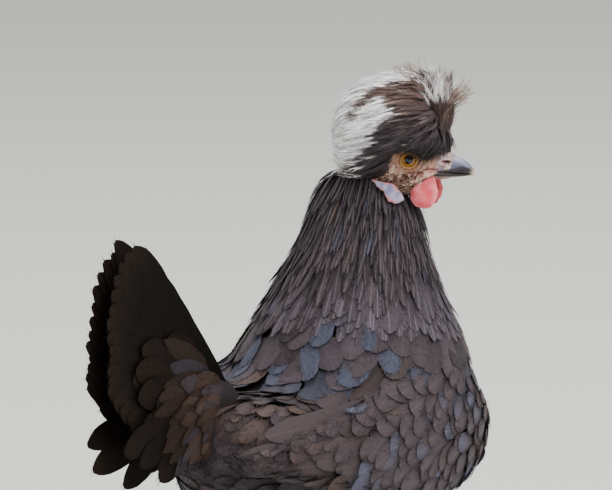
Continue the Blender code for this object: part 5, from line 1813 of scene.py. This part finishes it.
class HEN_OT_tail(bpy.types.Operator):
    """The roof-shaped tail and the coverts over its root"""

    bl_idname = "hen.tail"
    bl_label = "Tail"

    # Coverts: how many, rise of the first and last, length, half width, lift of the tip.
    COVERTS = (
        (9, 45, -10, 112, 11.0, 6.4),
        (12, 43, -16, 86, 10.0, 7.3),
        (14, 40, -22, 64, 8.5, 8.3),
        (16, 36, -30, 44, 7.5, 9.4),
    )
    # Feathers between the halves: how many, rise of the first and last, length, half width, tier.
    MIDDLE = ((7, 20, 47, 116, 10.0, 0), (7, 4, 44, 76, 9.0, 2), (9, -24, 40, 46, 8.0, 3))

    def execute(self, context):
        finish = feather_material("stiff tail feather", 1.0, 0.4, 0.1, 0.62, 0.1, 0.2, 0.0, 0.05)
        for word, side in SIDES.items():
            draw = np.random.default_rng(30 + side)
            coat = Coat()
            rise, length = np.array(TAIL, float).T
            between = np.linspace(0, len(rise) - 1, 3 * len(rise) - 2)
            rise, length = (np.interp(between, np.arange(len(rise)), values) for values in (rise, length))
            length = length + 6 * step(rise, 22, 40) + draw.uniform(-3.5, 0.5, len(rise))
            rise = rise + 4.0 * step(rise, 25, 45)
            off = 5.6 - 0.23 * np.arange(len(rise))
            self.fan(coat, side, rise, length, off, off, 11.5, draw, 0)
            for tier, (count, first, last, reach, half, high) in enumerate(self.COVERTS):
                rise = np.linspace(first, last, count) + draw.uniform(-2.5, 2.5, count)
                length = reach * draw.uniform(0.78, 1.12, count)
                low, high = np.full(count, 3.0), np.full(count, high)
                self.fan(coat, side, rise, length, low, high, half, draw, tier + 1)
            for count, first, last, reach, half, tier in self.MIDDLE:
                rise, off = np.linspace(first, last, count), np.linspace(4.6, 0.3, count)
                length = reach * draw.uniform(0.85, 1.0, count)
                self.fan(coat, side, rise, length, off, off, half, draw, tier)
            place_coat(f"tail_{word}_feathers", coat, finish, "tail_feathers", f"tail_{word}")
        return {"FINISHED"}

    def fan(self, coat, side, rise, length, low, high, half, draw, tier):
        steps, count = 17, len(rise)
        part = np.linspace(0, 1, steps)[None]
        off = low[:, None] + (high - low)[:, None] * (1 - (1 - part) ** 2)
        bent = rise[:, None] - (6 * part**2 + draw.uniform(-2, 4, (count, 1)) * part) * (tier > 0)
        path = tail_at(bent, length[:, None] * part, off, side)
        normal = np.broadcast_to(np.array((0.0, side, 0.0)), path.shape)
        brown = np.clip((0.1 + 0.28 * tier) * draw.uniform(0.5, 1.3, count), 0, 1)
        colour = mixed(TAIL_BLACK, TAIL_BROWN, brown)
        colour = mixed(colour, WARM_BROWN, 0.3 * max(tier - 1, 0) * draw.uniform(0.3, 1, count))
        colour = mixed(colour, chosen("hen_coat", "accent"), 0.35 * (draw.random(count) < 0.12 * (tier - 1)))
        share = step(part, 0.8, 1.0) * (0.6 if tier == 0 else 0.3)
        tint = mixed(shaded(colour, steps, 0.7, 1.0), TAIL_BROWN, np.broadcast_to(share, path.shape[:2]))
        patch = stacked(0.05 + 0.9 * (rise + 26) / 76, 0.1 + 0.17 * tier)
        coat.add(
            path, normal, half * draw.uniform(0.9, 1.05, count), tint, patch, PLUME if tier < 2 else LANCE,
            seed=110 + tier, teeth=0.08, sweep=0.2, roll=0.04 * side, camber=0.05, thick=0.45,
            fringe=(56, 3.4, 0.09),
        )


def way_to(bearing, rise):
    """The way to a bearing and a height over the floor, both as angles."""
    return Vector((math.sin(bearing) * math.cos(rise), -math.cos(bearing) * math.cos(rise), math.sin(rise)))


class HEN_OT_stage(bpy.types.Operator):
    """The pale floor, the soft lights and the camera"""

    bl_idname = "hen.stage"
    bl_label = "Stage"

    def execute(self, context):
        settings = context.scene.hen_stage
        azimuth, elevation = settings.azimuth, settings.elevation
        back = way_to(azimuth, elevation)
        right = Vector((math.cos(azimuth), math.sin(azimuth), 0))
        up = back.cross(right)
        low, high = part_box("eye_right")
        aside, above = (pixels * PIXEL for pixels in EYE_IN_PHOTO)
        aim = (low + high) / 2 - right * aside - up * above
        camera = bpy.data.objects.new("camera", bpy.data.cameras.new("camera"))
        context.scene.collection.objects.link(camera)
        camera.data.lens = camera.data.sensor_width * settings.distance / (PHOTO_WIDTH * PIXEL)
        camera.data.clip_end = 50
        facing = Matrix((right, up, back)).transposed().to_4x4()
        camera.matrix_world = Matrix.Translation(aim + back * settings.distance) @ facing
        context.scene.camera = camera

        bpy.ops.object.select_all(action="DESELECT")
        bpy.ops.mesh.primitive_plane_add(size=16)
        floor = bpy.context.object
        floor.name = "floor"
        floor.data.materials.append(self.floor_finish())

        # Bearing from the camera, height in degrees, distance, size and power of each lamp.
        for name, bearing, lift, away, size, power in (
            ("key", 38, 48, 2.6, 1.8, 82),
            ("fill", -55, 30, 3.0, 2.4, 32),
            ("top", 180, 62, 2.6, 2.0, 44),
        ):
            way = way_to(azimuth + math.radians(bearing), math.radians(lift))
            lamp = bpy.data.objects.new(name, bpy.data.lights.new(name, "AREA"))
            lamp.data.size = size
            lamp.data.energy = power
            lamp.location = Vector((0, 0, 0.28)) + way * away
            lamp.rotation_euler = way.to_track_quat("Z", "Y").to_euler()
            context.scene.collection.objects.link(lamp)
        world = bpy.data.worlds.new("soft room")
        context.scene.world = world
        world.use_nodes = True
        ground = world.node_tree.nodes["Background"]
        ground.inputs["Color"].default_value = (*linear("#e9ebe8"), 1)
        ground.inputs["Strength"].default_value = 0.95
        return {"FINISHED"}

    def floor_finish(self):
        """Matt paper backdrop: even and pale, with the faintest grain."""
        made, tree, shader = new_material("matt paper floor", Roughness=0.9)
        place_at = add_node(tree, "TexCoord", out="Object")
        grain = add_node(tree, "TexNoise", {"Vector": place_at, "Scale": 300.0, "Detail": 2.0})
        tone = add_node(tree, "ValToRGB", [grain], stops=((0.0, "#d5d6d1"), (1.0, "#e0e1dc")))
        tree.links.new(tone, shader.inputs["Base Color"])
        return made


GROUPS = {"hen_coat": HenCoatSettings, "hen_crest": HenCrestSettings, "hen_stage": HenStageSettings}
OPERATORS = (
    HEN_OT_skin,
    HEN_OT_eyes,
    HEN_OT_bill,
    HEN_OT_lappets,
    HEN_OT_legs,
    HEN_OT_body_feathers,
    HEN_OT_hackles,
    HEN_OT_face_feathers,
    HEN_OT_crest,
    HEN_OT_wings,
    HEN_OT_tail,
    HEN_OT_stage,
)


class HEN_PT_panel(bpy.types.Panel):
    """Lists the hen's settings and the operators that build her"""

    bl_label = "Crested Hen"
    bl_idname = "HEN_PT_panel"
    bl_space_type = "VIEW_3D"
    bl_region_type = "UI"
    bl_category = "Crested Hen"

    def draw(self, context):
        for name in GROUPS:
            box = self.layout.box()
            group = getattr(context.scene, name)
            for key in group.__annotations__:
                box.prop(group, key)
        for operator in OPERATORS:
            self.layout.operator(operator.bl_idname)


CLASSES = (*GROUPS.values(), *OPERATORS, HEN_PT_panel)


def register():
    for cls in CLASSES:
        bpy.utils.register_class(cls)
    for name, group in GROUPS.items():
        setattr(bpy.types.Scene, name, bpy.props.PointerProperty(type=group))


def unregister():
    for name in GROUPS:
        delattr(bpy.types.Scene, name)
    for cls in reversed(CLASSES):
        bpy.utils.unregister_class(cls)


def main():
    register()
    for operator in OPERATORS:
        space, name = operator.bl_idname.split(".")
        getattr(getattr(bpy.ops, space), name)()


if __name__ == "__main__":
    main()
